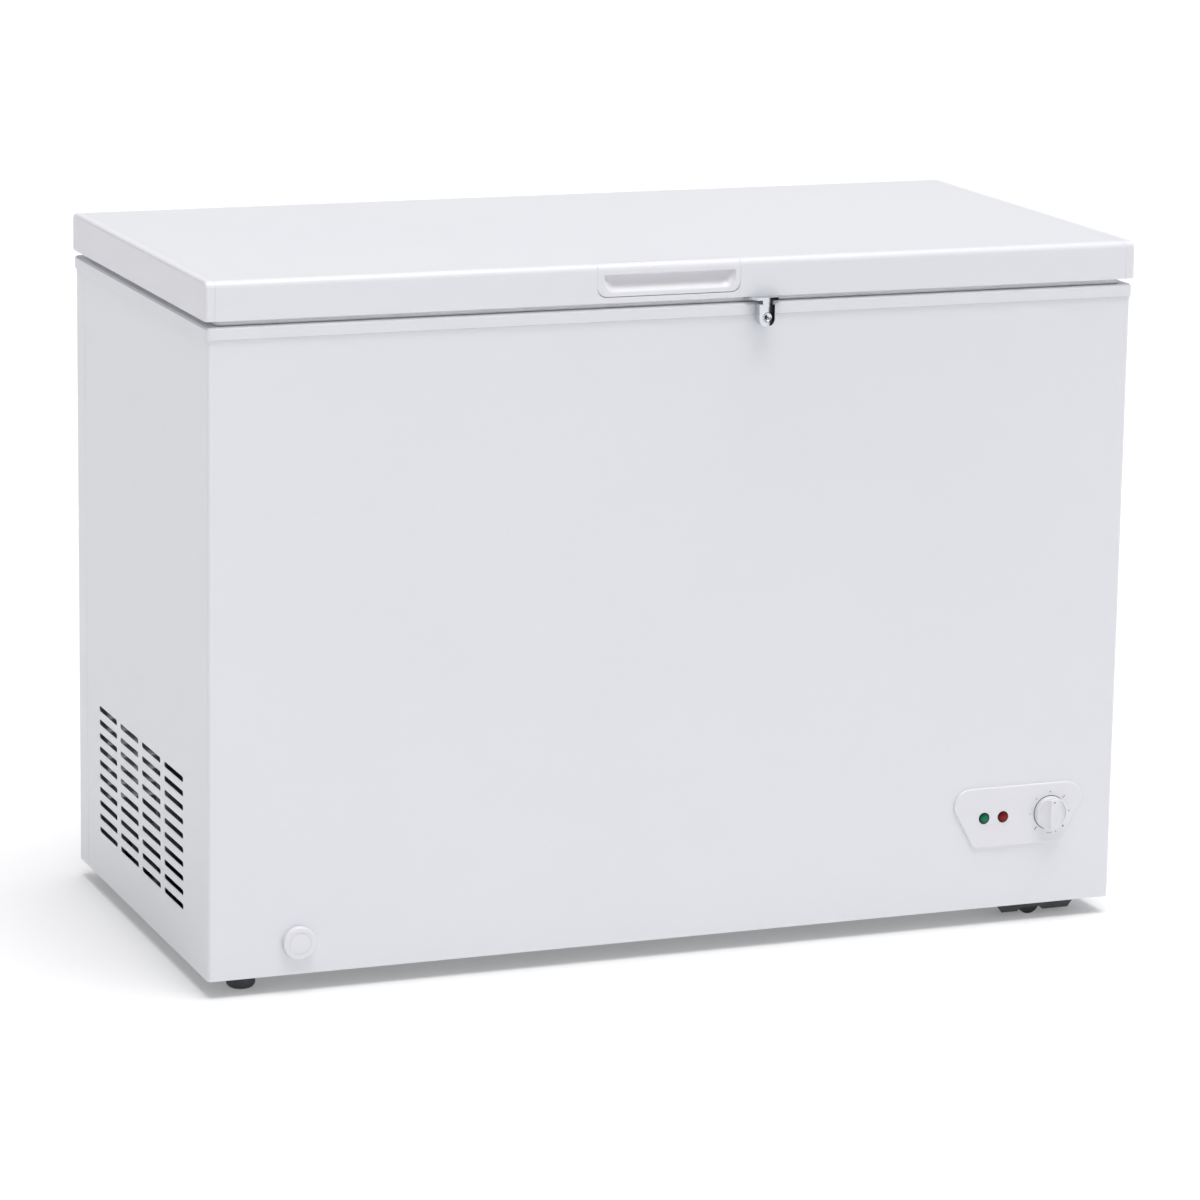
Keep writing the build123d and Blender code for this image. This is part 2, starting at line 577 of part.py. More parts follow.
def drain_cap():
    """Push-in front cap: a flat disc with a shallow ring in its face, and a hollow stem."""
    x, z, face = DRAIN_X, DRAIN_Z, FRONT - CAP_THICK
    disc = rod(CAP_R, (x, face, z), (x, FRONT - EASE, z))
    disc = fillet(disc.edges().group_by(Axis.Y)[0], 1.8)
    ring = rod(RING_R, (x, face - 1, z), (x, face + 0.4, z))
    disc -= ring - rod(RING_R - 1.2, (x, face - 1, z), (x, face + 0.4, z))
    stem = rod(DRAIN_BORE - RUN, (x, FRONT - 1.0, z), (x, FRONT + 12.0, z))
    stem -= rod(5.5, (x, FRONT + 1.0, z), (x, FRONT + 13.0, z))
    return disc + stem


def drain_bung():
    """Rubber bung in the tub floor, lifted by its ring."""
    x, y = SUMP
    bung = rod(SUMP_BORE - RUN, (x, y, TUB_FLOOR - 6), (x, y, TUB_FLOOR + 1))
    bung += rod(14.0, (x, y, TUB_FLOOR + EASE), (x, y, TUB_FLOOR + 3))
    ring = Plane(origin=(x, y, TUB_FLOOR + 9), z_dir=(0, 1, 0)) * Torus(7.0, 1.4)
    return bung + ring


# ---- controls ----
def panel_outline(inset):
    """Control panel outline: rounded shoulders above, sides sloping in to a narrower foot."""
    half, foot = PANEL_HALF - inset, PANEL_HALF_BOTTOM - inset
    low, high = PANEL_BOTTOM + inset, PANEL_TOP - inset
    corners = [(-half, high), (-half, PANEL_SHOULDER), (-foot, low), (foot, low),
               (half, PANEL_SHOULDER), (half, high)]
    face = Pos(PANEL_X, 0) * make_face(Polyline(*corners, close=True))
    by_height = face.vertices().sort_by(Axis.Y)
    face = fillet(by_height[-2:], 21.0 - inset)
    face = fillet(face.vertices().sort_by(Axis.Y)[:2], 9.0)
    middle = [v for v in face.vertices() if abs(v.Y - PANEL_SHOULDER) < 0.5]
    return fillet(middle, 6.0)


def box_shell(inset, y):
    """The outside of the control box, pulled in by inset."""
    x = (BOX_X[0] + inset, BOX_X[1] - inset)
    return block(x, y, (BOX_Z[0] + inset, BOX_Z[1] - inset))


def control_panel():
    """Moulded escutcheon with a dish for the knob and seats for the lamps."""
    panel = front_prism(panel_outline(0), (FRONT - PANEL_PROUD, FRONT))
    panel = fillet(panel.edges().group_by(Axis.Y)[0], 1.8)
    socket = box_shell(2.0, (FRONT, FRONT + 8)) - box_shell(4.0, (FRONT, FRONT + 9))
    panel += socket
    panel -= rod(DISH_R, (KNOB_X, FRONT - 6, KNOB_Z), (KNOB_X, FRONT - 1.2, KNOB_Z))
    panel -= rod(SHAFT + 0.6, (KNOB_X, FRONT - 6, KNOB_Z), (KNOB_X, FRONT + 5, KNOB_Z))
    for x in (GREEN_X, RED_X):
        panel -= rod(LAMP_R, (x, FRONT - 6, LAMP_Z), (x, FRONT + 5, LAMP_Z))
    return panel


def control_box():
    """Splash box that keeps the foam off the thermostat and lamps."""
    wall = 2.0
    box = box_shell(0, (FRONT + SHEET, FRONT + BOX_DEPTH))
    box -= box_shell(wall, (FRONT, FRONT + BOX_DEPTH - wall))
    back = FRONT + BOX_DEPTH
    box -= rod(3.0, (KNOB_X, back - 4, KNOB_Z + 10), (KNOB_X, back + 2, KNOB_Z + 10))
    box -= rod(6.0, (BOX_X[0] - 2, LOOM_Y, 120), (BOX_X[0] + 4, LOOM_Y, 120))
    return box


def lamp(x):
    """Domed lens with its lamp body behind."""
    bulge = 2.6
    sphere = (LAMP_R**2 + bulge**2) / (2 * bulge)
    dome = Pos(x, FRONT - PANEL_PROUD - bulge + sphere, LAMP_Z) * Sphere(sphere)
    dome &= rod(LAMP_R, (x, FRONT - 8, LAMP_Z), (x, FRONT - PANEL_PROUD + 0.1, LAMP_Z))
    lens = rod(LAMP_R, (x, FRONT - PANEL_PROUD, LAMP_Z), (x, FRONT, LAMP_Z))
    return dome + lens + rod(5.2, (x, FRONT, LAMP_Z), (x, FRONT + 20, LAMP_Z))


def thermostat_body():
    """Rotary thermostat with a threaded bush that the shaft turns in."""
    x, z = KNOB_X, KNOB_Z
    body = block((x - 16, x + 16), (FRONT + 12, FRONT + 34), (z - 20, z + 20))
    body = fillet(body.edges().filter_by(Axis.Y), 3.0)
    body += rod(6.0, (x, FRONT + 1, z), (x, FRONT + 12.5, z))
    body -= rod(SHAFT + RUN, (x, FRONT - 1, z), (x, FRONT + 26, z))
    return body


def thermostat_shaft():
    return rod(SHAFT, (KNOB_X, FRONT - 8, KNOB_Z), (KNOB_X, FRONT + 25, KNOB_Z))


def thermostat_knob():
    """Round knob: a hollow is scooped out on each side, which leaves a grip bar inside its rim."""
    x, z = KNOB_X, KNOB_Z
    disc = rod(KNOB_R - KNOB_RIM, (x, FRONT_MOST, z), (x, FRONT - 1.7, z))
    for side in (-1, 1):
        middle, y = x + side * (GRIP_HALF + SCOOP_REACH), FRONT_MOST - SCOOP_RISE
        radius = (SCOOP_REACH**2 + SCOOP_RISE**2) ** 0.5
        disc -= rod(radius, (middle, y, z - KNOB_R - 1), (middle, y, z + KNOB_R + 1))
    rim = rod(KNOB_R, (x, FRONT - 11.0, z), (x, FRONT - 1.7, z))
    rim = fillet(rim.edges().group_by(Axis.Y)[0], 1.2)
    rim -= rod(KNOB_R - KNOB_RIM - 0.01, (x, FRONT - 12.0, z), (x, FRONT, z))
    return disc + rim - rod(SHAFT, (x, FRONT - 8.0, z), (x, FRONT, z))


def sensor_tube(grow=0.0):
    """Thermostat capillary that runs through the foam to the tub wall."""
    x, z = KNOB_X, KNOB_Z + 10
    points = [(x, FRONT + 34, z), (x, FRONT + 47, z), (x, FRONT + 47, 330), (x - 120, FRONT + 47, 330)]
    return bent_tube(1.5 + grow, points, 8.0)


def wiring_loom(grow=0.0):
    """Sheathed wires from the control box to the machine compartment."""
    points = [(BOX_X[0] + 1, LOOM_Y, 120), (LOOM_X, LOOM_Y, 120), (LOOM_X, LOOM_Y, LOOM_Z),
              (MACHINE_X - 30, LOOM_Y, LOOM_Z)]
    return bent_tube(4.0 + grow, points, 14.0)


# ---- lid ----
def lid_block(inset, x, bottom):
    """The lid's outside form, pulled in by inset, with its rounded front and rear edges."""
    half_y, top = LID_Y - inset, LID_TOP - inset
    form = block(x, (-half_y, half_y), (bottom, top))
    return fillet(form.edges().filter_by(Axis.X).group_by(Axis.Z)[-1], LID_EDGE - inset)


def bezel_region(gap):
    """The part of the lid's front edge that the handle takes, larger by gap all round."""
    x = (BEZEL_X[0] - gap, BEZEL_X[1] + gap)
    outline = rounded_front(x, (BEZEL_BOTTOM - gap, LID_TOP + 40), BEZEL_CORNER)
    return front_prism(outline, (-LID_Y - 1, -LID_Y + BEZEL_BACK + gap))


def pocket(grow):
    """Finger scoop: an undercut top, and a floor that sweeps up from the front lip."""
    front = -LID_Y - 1
    deep = -LID_Y + POCKET_DEPTH + grow
    low, high = POCKET_Z[0] - grow, POCKET_Z[1] + grow
    crown = high + 4
    floor = ThreePointArc((front, low), (-LID_Y + 13, low + 4), (deep, low + 15))
    edge = floor + Polyline((deep, low + 15), (deep, crown), (-LID_Y + 5 - grow, crown),
                            (-LID_Y + 5 - grow, high), (front, high), (front, low))
    x = (POCKET_X[0] - grow, POCKET_X[1] + grow)
    scoop = side_prism(make_face(edge), x)
    return scoop & front_prism(
        rounded_front(x, (low, LID_TOP + 30), POCKET_CORNER + grow), (front - 1, deep + 1)
    )


def lid_skin():
    """Folded sheet: top, front and rear, with a narrow hem turned in under the edges."""
    x = (-SKIN_X, SKIN_X)
    skin = lid_block(0, x, LID_BOTTOM) - lid_block(SHEET, x, LID_BOTTOM + SHEET)
    hem = LID_Y - 8
    skin -= block(x, (-hem, hem), (LID_BOTTOM - 1, LID_BOTTOM + 2))
    skin -= bezel_region(0.25)
    for side in (-1, 1):
        centre = (LOCK_X + side * SCREW_X, -LID_Y + 4)
        skin -= rod(1.6, (*centre, LID_BOTTOM - 2), (*centre, LID_BOTTOM + 3))
    for x_hole, z_hole in arm_screw_places():
        skin -= rod(2.0, (x_hole, LID_Y - 3, z_hole), (x_hole, LID_Y + 1, z_hole))
    return skin


def lid_end_cap(side):
    """Moulded cap closing one end of the lid."""
    x = sorted((side * (LID_X - CAP_WIDTH), side * LID_X))
    cap = lid_block(0, x, LID_BOTTOM)
    outer = cap.faces().sort_by(Axis.X)[-1 if side > 0 else 0]
    top_and_sides = [e for e in outer.edges() if e.center().Z > LID_BOTTOM + 1]
    return fillet(top_and_sides, 3.5)


def lid_liner():
    """Formed inner panel of the lid, with the plug that drops into the tub's mouth."""
    z = LID_BOTTOM + SHEET
    plate = block((-SKIN_X + 0.5, SKIN_X - 0.5), (-LID_Y + 1.5, LID_Y - 1.5), (z, z + LINER_PLATE))
    plug = column(PLUG_X, PLUG_Y, 14.0, (PLUG_BOTTOM, z + LINER_PLATE))
    plug = fillet(plug.edges().group_by(Axis.Z)[0], 4.0)
    hollow = column(PLUG_X - 1.5, PLUG_Y - 1.5, 12.5, (PLUG_BOTTOM + 1.5, z + LINER_PLATE + 1))
    liner = plate + plug - hollow + gasket_channel() - gasket_barb()
    for side in (-1, 1):
        centre = (LOCK_X + side * SCREW_X, -LID_Y + 4)
        liner -= rod(1.6, (*centre, z - 2), (*centre, z + 4))
    return liner


def gasket_ring(inset, width, z):
    """A rectangular ring measured in from the gasket's outer edge."""
    half_x, half_y = GASKET_X - inset, GASKET_Y - inset
    return column(half_x, half_y, 6.0, z) - column(half_x - width, half_y - width, 4.0, z)


def gasket_barb():
    """The gasket's edge that is pressed into the lid liner."""
    z = LID_BOTTOM + SHEET
    return gasket_ring(5.4, 3.2, (z, z + 6))


def gasket_channel():
    """The formed channel in the lid liner that grips the barb."""
    z = LID_BOTTOM + SHEET
    return gasket_ring(5.4 - LINER_PLATE, 3.2 + 2 * LINER_PLATE, (z, z + 6 + LINER_PLATE))


def lid_gasket():
    """Magnetic bellows gasket pressed into the lid liner."""
    z = LID_BOTTOM + SHEET
    body = gasket_ring(0, GASKET_WIDTH, (RIM_TOP + 2.6, LID_BOTTOM))
    foot = gasket_ring(1.2, GASKET_WIDTH - 2.4, (RIM_TOP + EASE, RIM_TOP + 2.6))
    neck = gasket_ring(1.0, GASKET_WIDTH - 2.0, (LID_BOTTOM, z))
    return body + foot + neck + gasket_barb()


def lid_foam():
    foam = lid_block(SHEET, (-SKIN_X, SKIN_X), LID_BOTTOM + SHEET + LINER_PLATE)
    foam += column(PLUG_X - 1.5, PLUG_Y - 1.5, 12.5,
                   (PLUG_BOTTOM + 1.5, LID_BOTTOM + SHEET + LINER_PLATE + 1))
    foam -= bezel_region(0.25)
    foam -= pocket(2.5)
    foam -= gasket_channel()
    for side in (-1, 1):
        centre = (LOCK_X + side * SCREW_X, -LID_Y + 4)
        foam -= rod(1.6, (*centre, LID_BOTTOM), (*centre, LID_BOTTOM + 14))
    for x, z in arm_screw_places():
        foam -= rod(2.0, (x, LID_Y - 13, z), (x, LID_Y, z))
    return foam


def handle_bezel():
    """Moulded handle let into the lid's front edge, with the scoop behind it."""
    form = lid_block(0, (BEZEL_X[0], BEZEL_X[1]), LID_BOTTOM) & bezel_region(0)
    shell = form - lid_block(3.0, (BEZEL_X[0] - 1, BEZEL_X[1] + 1), LID_BOTTOM - 5)
    housing = pocket(2.5) & block(BEZEL_X, (-LID_Y, 0), (LID_BOTTOM, LID_TOP - SHEET))
    housing &= form + block(BEZEL_X, (-LID_Y + 2, 0), (LID_BOTTOM, LID_TOP - SHEET))
    return shell + housing - pocket(0)


# ---- lock ----
def lock_housing():
    """Plated body: a flange under the lid's edge, a neck, and a tab down over the rim."""
    flange_z = (LID_BOTTOM - FLANGE_THICK, LID_BOTTOM)
    corners = [(-FLANGE_REAR_HALF, -LID_Y + 8), (FLANGE_REAR_HALF, -LID_Y + 8),
               (FLANGE_REAR_HALF, -LID_Y + 2), (FLANGE_FRONT_HALF, FRONT_MOST),
               (-FLANGE_FRONT_HALF, FRONT_MOST), (-FLANGE_REAR_HALF, -LID_Y + 2)]
    plan = Pos(LOCK_X, 0) * make_face(Polyline(*corners, close=True))
    flange = Pos(0, 0, flange_z[0]) * extrude(plan, FLANGE_THICK)
    y = (FRONT_MOST, FRONT_MOST + TAB_DEPTH)
    neck = block((LOCK_X - 6, LOCK_X + 6), y, (758, flange_z[0] + 1))
    outline = Pos(LOCK_X, 0) * make_face(
        Polyline((-TAB_HALF, LOCK_BOTTOM), (TAB_HALF, LOCK_BOTTOM), (TAB_HALF, 764),
                 (-TAB_HALF, 764), close=True)
    )
    outline = fillet(outline.vertices().sort_by(Axis.Y)[:2], TAB_HALF - 0.4)
    tab = front_prism(outline, y)
    tab = fillet(tab.edges().group_by(Axis.Y)[0], 1.0)
    body = flange + neck + tab
    body -= rod(BARREL + RUN, (LOCK_X, y[0] - 1, LOCK_BARREL_Z), (LOCK_X, y[1] - 3, LOCK_BARREL_Z))
    body -= rod(BOLT + RUN, (LOCK_X, y[0], LOCK_BARREL_Z), (LOCK_X, y[1] + 1, LOCK_BARREL_Z))
    for side in (-1, 1):
        centre = (LOCK_X + side * SCREW_X, -LID_Y + 4)
        body -= rod(1.7, (*centre, LID_BOTTOM - 5), (*centre, LID_BOTTOM + 1))
    return body


def lock_barrel():
    """Push-in cylinder with a key slot in its face and a bolt at the back."""
    x, z = LOCK_X, LOCK_BARREL_Z
    face, shoulder = FRONT_MOST, FRONT_MOST + TAB_DEPTH - 3
    barrel = rod(BARREL, (x, face + 0.2, z), (x, shoulder - LOCK_TRAVEL, z))
    barrel += rod(BOLT, (x, face + 1, z), (x, -RIM_Y - 0.6, z))
    slot = block((x - 3.0, x + 3.0), (face - 1, face + 1.6), (z - 0.6, z + 0.6))
    return barrel - Pos(x, 0, z) * Rot(0, 30, 0) * Pos(-x, 0, -z) * slot


# ---- hinges ----
def hinge_base(x):
    """Channel on the back of the cabinet whose two ears hold the hinge pin."""
    y_back = REAR + FITTING_PROUD
    channel = block((x - CHANNEL_HALF, x + CHANNEL_HALF), (REAR, y_back),
                    (CHANNEL_BOTTOM, CHANNEL_TOP))
    inner = CHANNEL_HALF - CHANNEL_WALL
    channel -= block((x - inner, x + inner), (REAR + 2, y_back + 1),
                     (CHANNEL_BOTTOM + 6, CHANNEL_TOP + 1))
    for side in (-1, 1):
        wall = sorted((x + side * inner, x + side * CHANNEL_HALF))
        front = HINGE_Y - KNUCKLE - 0.3
        channel += block(wall, (front, y_back - 0.2), (CHANNEL_TOP - 2, HINGE_Z))
        channel += rod(KNUCKLE + 0.3, (wall[0], HINGE_Y, HINGE_Z), (wall[1], HINGE_Y, HINGE_Z))
        tab = sorted((x + side * CHANNEL_HALF, x + side * (CHANNEL_HALF + 16)))
        channel += block(tab, (REAR, REAR + 2), (CHANNEL_BOTTOM, CHANNEL_TOP - 6))
    channel -= rod(HINGE_PIN, (x - 25, HINGE_Y, HINGE_Z), (x + 25, HINGE_Y, HINGE_Z))
    for x_hole, z_hole in base_screw_places(x):
        channel -= rod(2.1, (x_hole, REAR - 1, z_hole), (x_hole, REAR + 3, z_hole))
    return channel


def base_screw_places(x):
    return [(x + side * 26, z) for side in (-1, 1) for z in (690.0, 730.0)]


def arm_screw_places():
    return [(x + dx, z) for x in HINGE_XS for dx, z in ((-9.0, 782.0), (9.0, 782.0), (0.0, 799.0))]


def hinge_arm(x):
    """Plate on the lid's rear with the knuckle and the crank that works the spring."""
    inner = CHANNEL_HALF - CHANNEL_WALL - 0.5
    plate = block((x - inner, x + inner), (LID_Y, LID_Y + 2.5), (HINGE_Z - 1, 808))
    plate -= rod(KNUCKLE, (x - 20, HINGE_Y, HINGE_Z), (x + 20, HINGE_Y, HINGE_Z))
    corners = [e for e in plate.edges().filter_by(Axis.Y) if e.center().Z > 800]
    plate = fillet(corners, 5.0)
    knuckle = rod(KNUCKLE, (x - inner, HINGE_Y, HINGE_Z), (x + inner, HINGE_Y, HINGE_Z))
    web = block((x - inner, x + inner), (LID_Y, HINGE_Y), (HINGE_Z, HINGE_Z + 5.4))
    crank = block((x - 3, x + 3), (HINGE_Y - CRANK_TIP, HINGE_Y + CRANK_TIP),
                  (HINGE_Z - CRANK, HINGE_Z))
    crank += rod(CRANK_TIP, (x - 3, HINGE_Y, HINGE_Z - CRANK), (x + 3, HINGE_Y, HINGE_Z - CRANK))
    arm = plate + web + knuckle + crank
    arm -= rod(HINGE_PIN + RUN, (x - 25, HINGE_Y, HINGE_Z), (x + 25, HINGE_Y, HINGE_Z))
    for x_hole, z_hole in arm_screw_places():
        if abs(x_hole - x) < 20:
            arm -= rod(2.1, (x_hole, LID_Y - 1, z_hole), (x_hole, LID_Y + 4, z_hole))
    return arm


def hinge_pins():
    pins = []
    for x in HINGE_XS:
        pin = rod(HINGE_PIN, (x - CHANNEL_HALF - 1, HINGE_Y, HINGE_Z),
                  (x + CHANNEL_HALF + 1, HINGE_Y, HINGE_Z))
        head_at = x + CHANNEL_HALF
        pins.append(pin + rod(4.0, (head_at, HINGE_Y, HINGE_Z), (head_at + 2, HINGE_Y, HINGE_Z)))
    return group(pins)


def hinge_plunger(x):
    """Cap on the counterbalance spring that the crank bears on."""
    cap = rod(PLUNGER_R, (x, HINGE_Y - 0.2, PLUNGER_BOTTOM), (x, HINGE_Y - 0.2, PLUNGER_TOP))
    return cap + rod(2.6, (x, HINGE_Y - 0.2, PLUNGER_BOTTOM - 12), (x, HINGE_Y - 0.2, PLUNGER_BOTTOM))


def hinge_spring(x):
    """Compression spring standing in the hinge channel."""
    z = (SPRING_BOTTOM + SPRING_WIRE, PLUNGER_BOTTOM - SPRING_WIRE - 0.1)
    height = z[1] - z[0]
    helix = Helix(pitch=height / SPRING_TURNS, height=height, radius=SPRING_R)
    wire = sweep(Plane(origin=helix @ 0, z_dir=helix % 0) * Circle(SPRING_WIRE), path=helix)
    return Pos(x, HINGE_Y - 0.2, z[0]) * wire


def rear_screw_holes():
    """Holes for the shanks of the rear screws."""
    places = [place for x in HINGE_XS for place in base_screw_places(x)] + cover_screw_places()
    return [rod(2.0, (x, REAR - 14, z), (x, REAR + 1, z)) for x, z in places]


def rear_screws():
    """Screws of the hinge bases and the rear cover."""
    screws = [screw(x, REAR + 2, z, (0, -1, 0), 12) for side in HINGE_XS
              for x, z in base_screw_places(side)]
    screws += [screw(x, REAR + SHEET, z, (0, -1, 0), 8) for x, z in cover_screw_places()]
    return group(screws)


def lid_screws():
    """Screws of the hinge arms and the lock flange."""
    screws = [screw(x, LID_Y + 2.5, z, (0, -1, 0), 14, radius=1.9) for x, z in arm_screw_places()]
    screws += [
        screw(LOCK_X + side * SCREW_X, -LID_Y + 4, LID_BOTTOM - FLANGE_THICK, (0, 0, 1), 14,
              radius=1.5, head=2.8, head_height=1.2)
        for side in (-1, 1)
    ]
    return group(screws)


# ---- feet, rollers, basket, spacers ----
def levelling_foot(side):
    """Bowl-shaped foot with its threaded stud, drawn at the thread's mean size."""
    profile = (
        Line((0, 0), (10, 0)) + ThreePointArc((10, 0), (15.0, 2.6), (16.5, 9.0))
        + Polyline((16.5, 9), (16.5, 16), (STUD, 17.5), (STUD, 46), (0, 46), (0, 0))
    )
    foot = revolve(Plane.XZ * make_face(profile), Axis.Z)
    return Pos(FOOT_X, side * FOOT_Y, 0) * foot


def roller_bracket(side):
    """Pressed bracket: a top plate with an opening and two trapezoid cheeks."""
    half = ROLLER_WIDTH / 2 + 1.0
    mid_y = side * ROLLER_Y
    cheek = make_face(Polyline(
        (BRACKET_TOP[0], CABINET_BOTTOM), (BRACKET_TOP[1], CABINET_BOTTOM), (BRACKET_FOOT[1], 5),
        (ROLLER_X + 17, 5), (ROLLER_X + 12, 9), (ROLLER_X - 12, 9), (ROLLER_X - 17, 5),
        (BRACKET_FOOT[0], 5), close=True))
    bracket = block(BRACKET_TOP, (mid_y - half - BRACKET_SHEET, mid_y + half + BRACKET_SHEET),
                    (CABINET_BOTTOM - BRACKET_SHEET, CABINET_BOTTOM))
    bracket -= block((ROLLER_X - 18, ROLLER_X + 18), (mid_y - half, mid_y + half), (15, 25))
    for low in (mid_y - half - BRACKET_SHEET, mid_y + half):
        bracket += front_prism(cheek, (low, low + BRACKET_SHEET))
    bracket -= rod(AXLE, (ROLLER_X, mid_y - 30, ROLLER_R), (ROLLER_X, mid_y + 30, ROLLER_R))
    return bracket


def roller(side):
    mid_y, half = side * ROLLER_Y, ROLLER_WIDTH / 2
    wheel = rod(ROLLER_R, (ROLLER_X, mid_y - half, ROLLER_R), (ROLLER_X, mid_y + half, ROLLER_R))
    wheel = chamfer(wheel.edges(), 1.2)
    return wheel - rod(AXLE + RUN, (ROLLER_X, mid_y - 30, ROLLER_R), (ROLLER_X, mid_y + 30, ROLLER_R))


def roller_axles():
    half = ROLLER_WIDTH / 2 + 1.0 + BRACKET_SHEET
    axles = []
    for side in (-1, 1):
        y = (side * ROLLER_Y - half - 1.5, side * ROLLER_Y + half + 1.5)
        axle = rod(AXLE, (ROLLER_X, y[0], ROLLER_R), (ROLLER_X, y[1], ROLLER_R))
        for low in (y[0], y[1] - 1.5):
            axle += rod(AXLE + 1.6, (ROLLER_X, low, ROLLER_R), (ROLLER_X, low + 1.5, ROLLER_R))
        axles.append(axle)
    return group(axles)


def basket_plan(x, half_y, corner):
    return Pos((x[0] + x[1]) / 2, 0) * RectangleRounded(x[1] - x[0], 2 * half_y, corner)


def wire_basket():
    """Hanging basket as one thin tub, with hooks over the ledge of the rim."""
    x, z = BASKET_X, BASKET_Z
    small = (x[0] + BASKET_TAPER, x[1] - BASKET_TAPER)

    def tapered(inset, bottom):
        low = basket_plan((small[0] + inset, small[1] - inset), BASKET_Y - BASKET_TAPER - inset, 14)
        high = basket_plan((x[0] + inset, x[1] - inset), BASKET_Y - inset, 14)
        return loft([Pos(0, 0, bottom) * low, Pos(0, 0, z[1]) * high])

    basket = tapered(0, z[0]) - tapered(BASKET_WALL, z[0] + BASKET_WALL)
    for side in (-1, 1):
        for end in (x[0] + 40, x[1] - 40):
            reach = sorted((side * (BASKET_Y - 1.5), side * (TUB_Y - 3.5)))
            basket += block((end - 12, end + 12), reach, (LEDGE_TOP + EASE, LEDGE_TOP + 4))
            post = sorted((side * (BASKET_Y - BASKET_WALL), side * BASKET_Y))
            basket += block((end - 12, end + 12), post, (z[1] - 6, LEDGE_TOP + 4))
    return basket


def wall_spacers():
    """Moulded stand-offs that keep the back clear of a wall."""
    spacers = []
    for x in (-180.0, 180.0):
        spacer = block((x - 12, x + 12), (REAR, REAR + FITTING_PROUD), (560, 620))
        spacers.append(fillet(spacer.edges().filter_by(Axis.Y), 5.0))
    return group(spacers)


PARTS = {
    "outer_shell": outer_shell,
    "back_panel": back_panel,
    "base_pan": base_pan,
    "machine_base_plate": machine_base_plate,
    "machine_compartment_wall": machine_compartment_wall,
    "machine_rear_cover": machine_rear_cover,
    "inner_liner": inner_liner,
    "body_foam": body_foam,
    "top_rim": top_rim,
    "evaporator_coil": evaporator_coil,
    "condenser_coil": condenser_coil,
    "compressor": compressor_shell,
    "terminal_cover": terminal_cover,
    "compressor_grommets": compressor_grommets,
    "compressor_bolts": compressor_bolts,
    "suction_tube": suction_tube,
    "discharge_tube": discharge_tube,
    "filter_drier": filter_drier,
    "capillary_tube": capillary_tube,
    "cord_gland": cord_gland,
    "drain_hose": drain_hose,
    "drain_sump": drain_sump,
    "drain_outlet": drain_outlet,
    "drain_cap": drain_cap,
    "drain_bung": drain_bung,
    "control_panel": control_panel,
    "control_box": control_box,
    "green_lamp": lambda: lamp(GREEN_X),
    "red_lamp": lambda: lamp(RED_X),
    "thermostat_body": thermostat_body,
    "thermostat_shaft": thermostat_shaft,
    "thermostat_knob": thermostat_knob,
    "sensor_tube": sensor_tube,
    "wiring_loom": wiring_loom,
    "lid_skin": lid_skin,
    "lid_end_cap_left": lambda: lid_end_cap(-1),
    "lid_end_cap_right": lambda: lid_end_cap(1),
    "lid_liner": lid_liner,
    "lid_foam": lid_foam,
    "lid_gasket": lid_gasket,
    "lid_screws": lid_screws,
    "handle_bezel": handle_bezel,
    "lock_housing": lock_housing,
    "lock_barrel": lock_barrel,
    "hinge_bases": lambda: group(hinge_base(x) for x in HINGE_XS),
    "hinge_arms": lambda: group(hinge_arm(x) for x in HINGE_XS),
    "hinge_pins": hinge_pins,
    "hinge_plunger_left": lambda: hinge_plunger(HINGE_XS[0]),
    "hinge_plunger_right": lambda: hinge_plunger(HINGE_XS[1]),
    "hinge_spring_left": lambda: hinge_spring(HINGE_XS[0]),
    "hinge_spring_right": lambda: hinge_spring(HINGE_XS[1]),
    "rear_screws": rear_screws,
    "levelling_foot_front": lambda: levelling_foot(-1),
    "levelling_foot_rear": lambda: levelling_foot(1),
    "roller_brackets": lambda: group(roller_bracket(side) for side in (-1, 1)),
    "roller_front": lambda: roller(-1),
    "roller_rear": lambda: roller(1),
    "roller_axles": roller_axles,
    "wire_basket": wire_basket,
    "wall_spacers": wall_spacers,
}

os.makedirs("parts", exist_ok=True)
for name, make in PARTS.items():
    export_step(make(), f"parts/{name}.step")
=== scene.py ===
"""The looks of a chest freezer: its paints, plastics, metals and rubber, and the pieces finer than the CAD.

Everything is in metres, in the CAD model's own frame: +Z up, the front faces -Y.
"""
import json
import math

import bmesh
import bpy
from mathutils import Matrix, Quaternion, Vector


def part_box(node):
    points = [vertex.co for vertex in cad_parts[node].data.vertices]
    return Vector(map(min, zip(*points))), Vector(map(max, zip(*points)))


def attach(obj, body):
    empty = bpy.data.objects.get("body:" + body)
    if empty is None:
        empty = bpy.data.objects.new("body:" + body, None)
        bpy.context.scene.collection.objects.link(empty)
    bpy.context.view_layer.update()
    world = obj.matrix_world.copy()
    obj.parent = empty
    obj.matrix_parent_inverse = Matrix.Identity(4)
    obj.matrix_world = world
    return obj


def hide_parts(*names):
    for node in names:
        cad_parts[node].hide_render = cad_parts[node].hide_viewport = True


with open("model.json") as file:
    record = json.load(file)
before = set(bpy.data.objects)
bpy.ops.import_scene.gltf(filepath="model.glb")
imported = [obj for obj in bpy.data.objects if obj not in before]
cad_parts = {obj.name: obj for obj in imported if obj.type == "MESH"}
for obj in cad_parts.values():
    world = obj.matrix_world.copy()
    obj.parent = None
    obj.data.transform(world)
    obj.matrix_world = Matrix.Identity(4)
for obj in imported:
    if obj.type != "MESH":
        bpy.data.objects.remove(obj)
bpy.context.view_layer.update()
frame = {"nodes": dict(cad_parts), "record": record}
slot_of = {part["node"]: part["material_slot"] for part in frame["record"]["subparts"]}
MM = 0.001


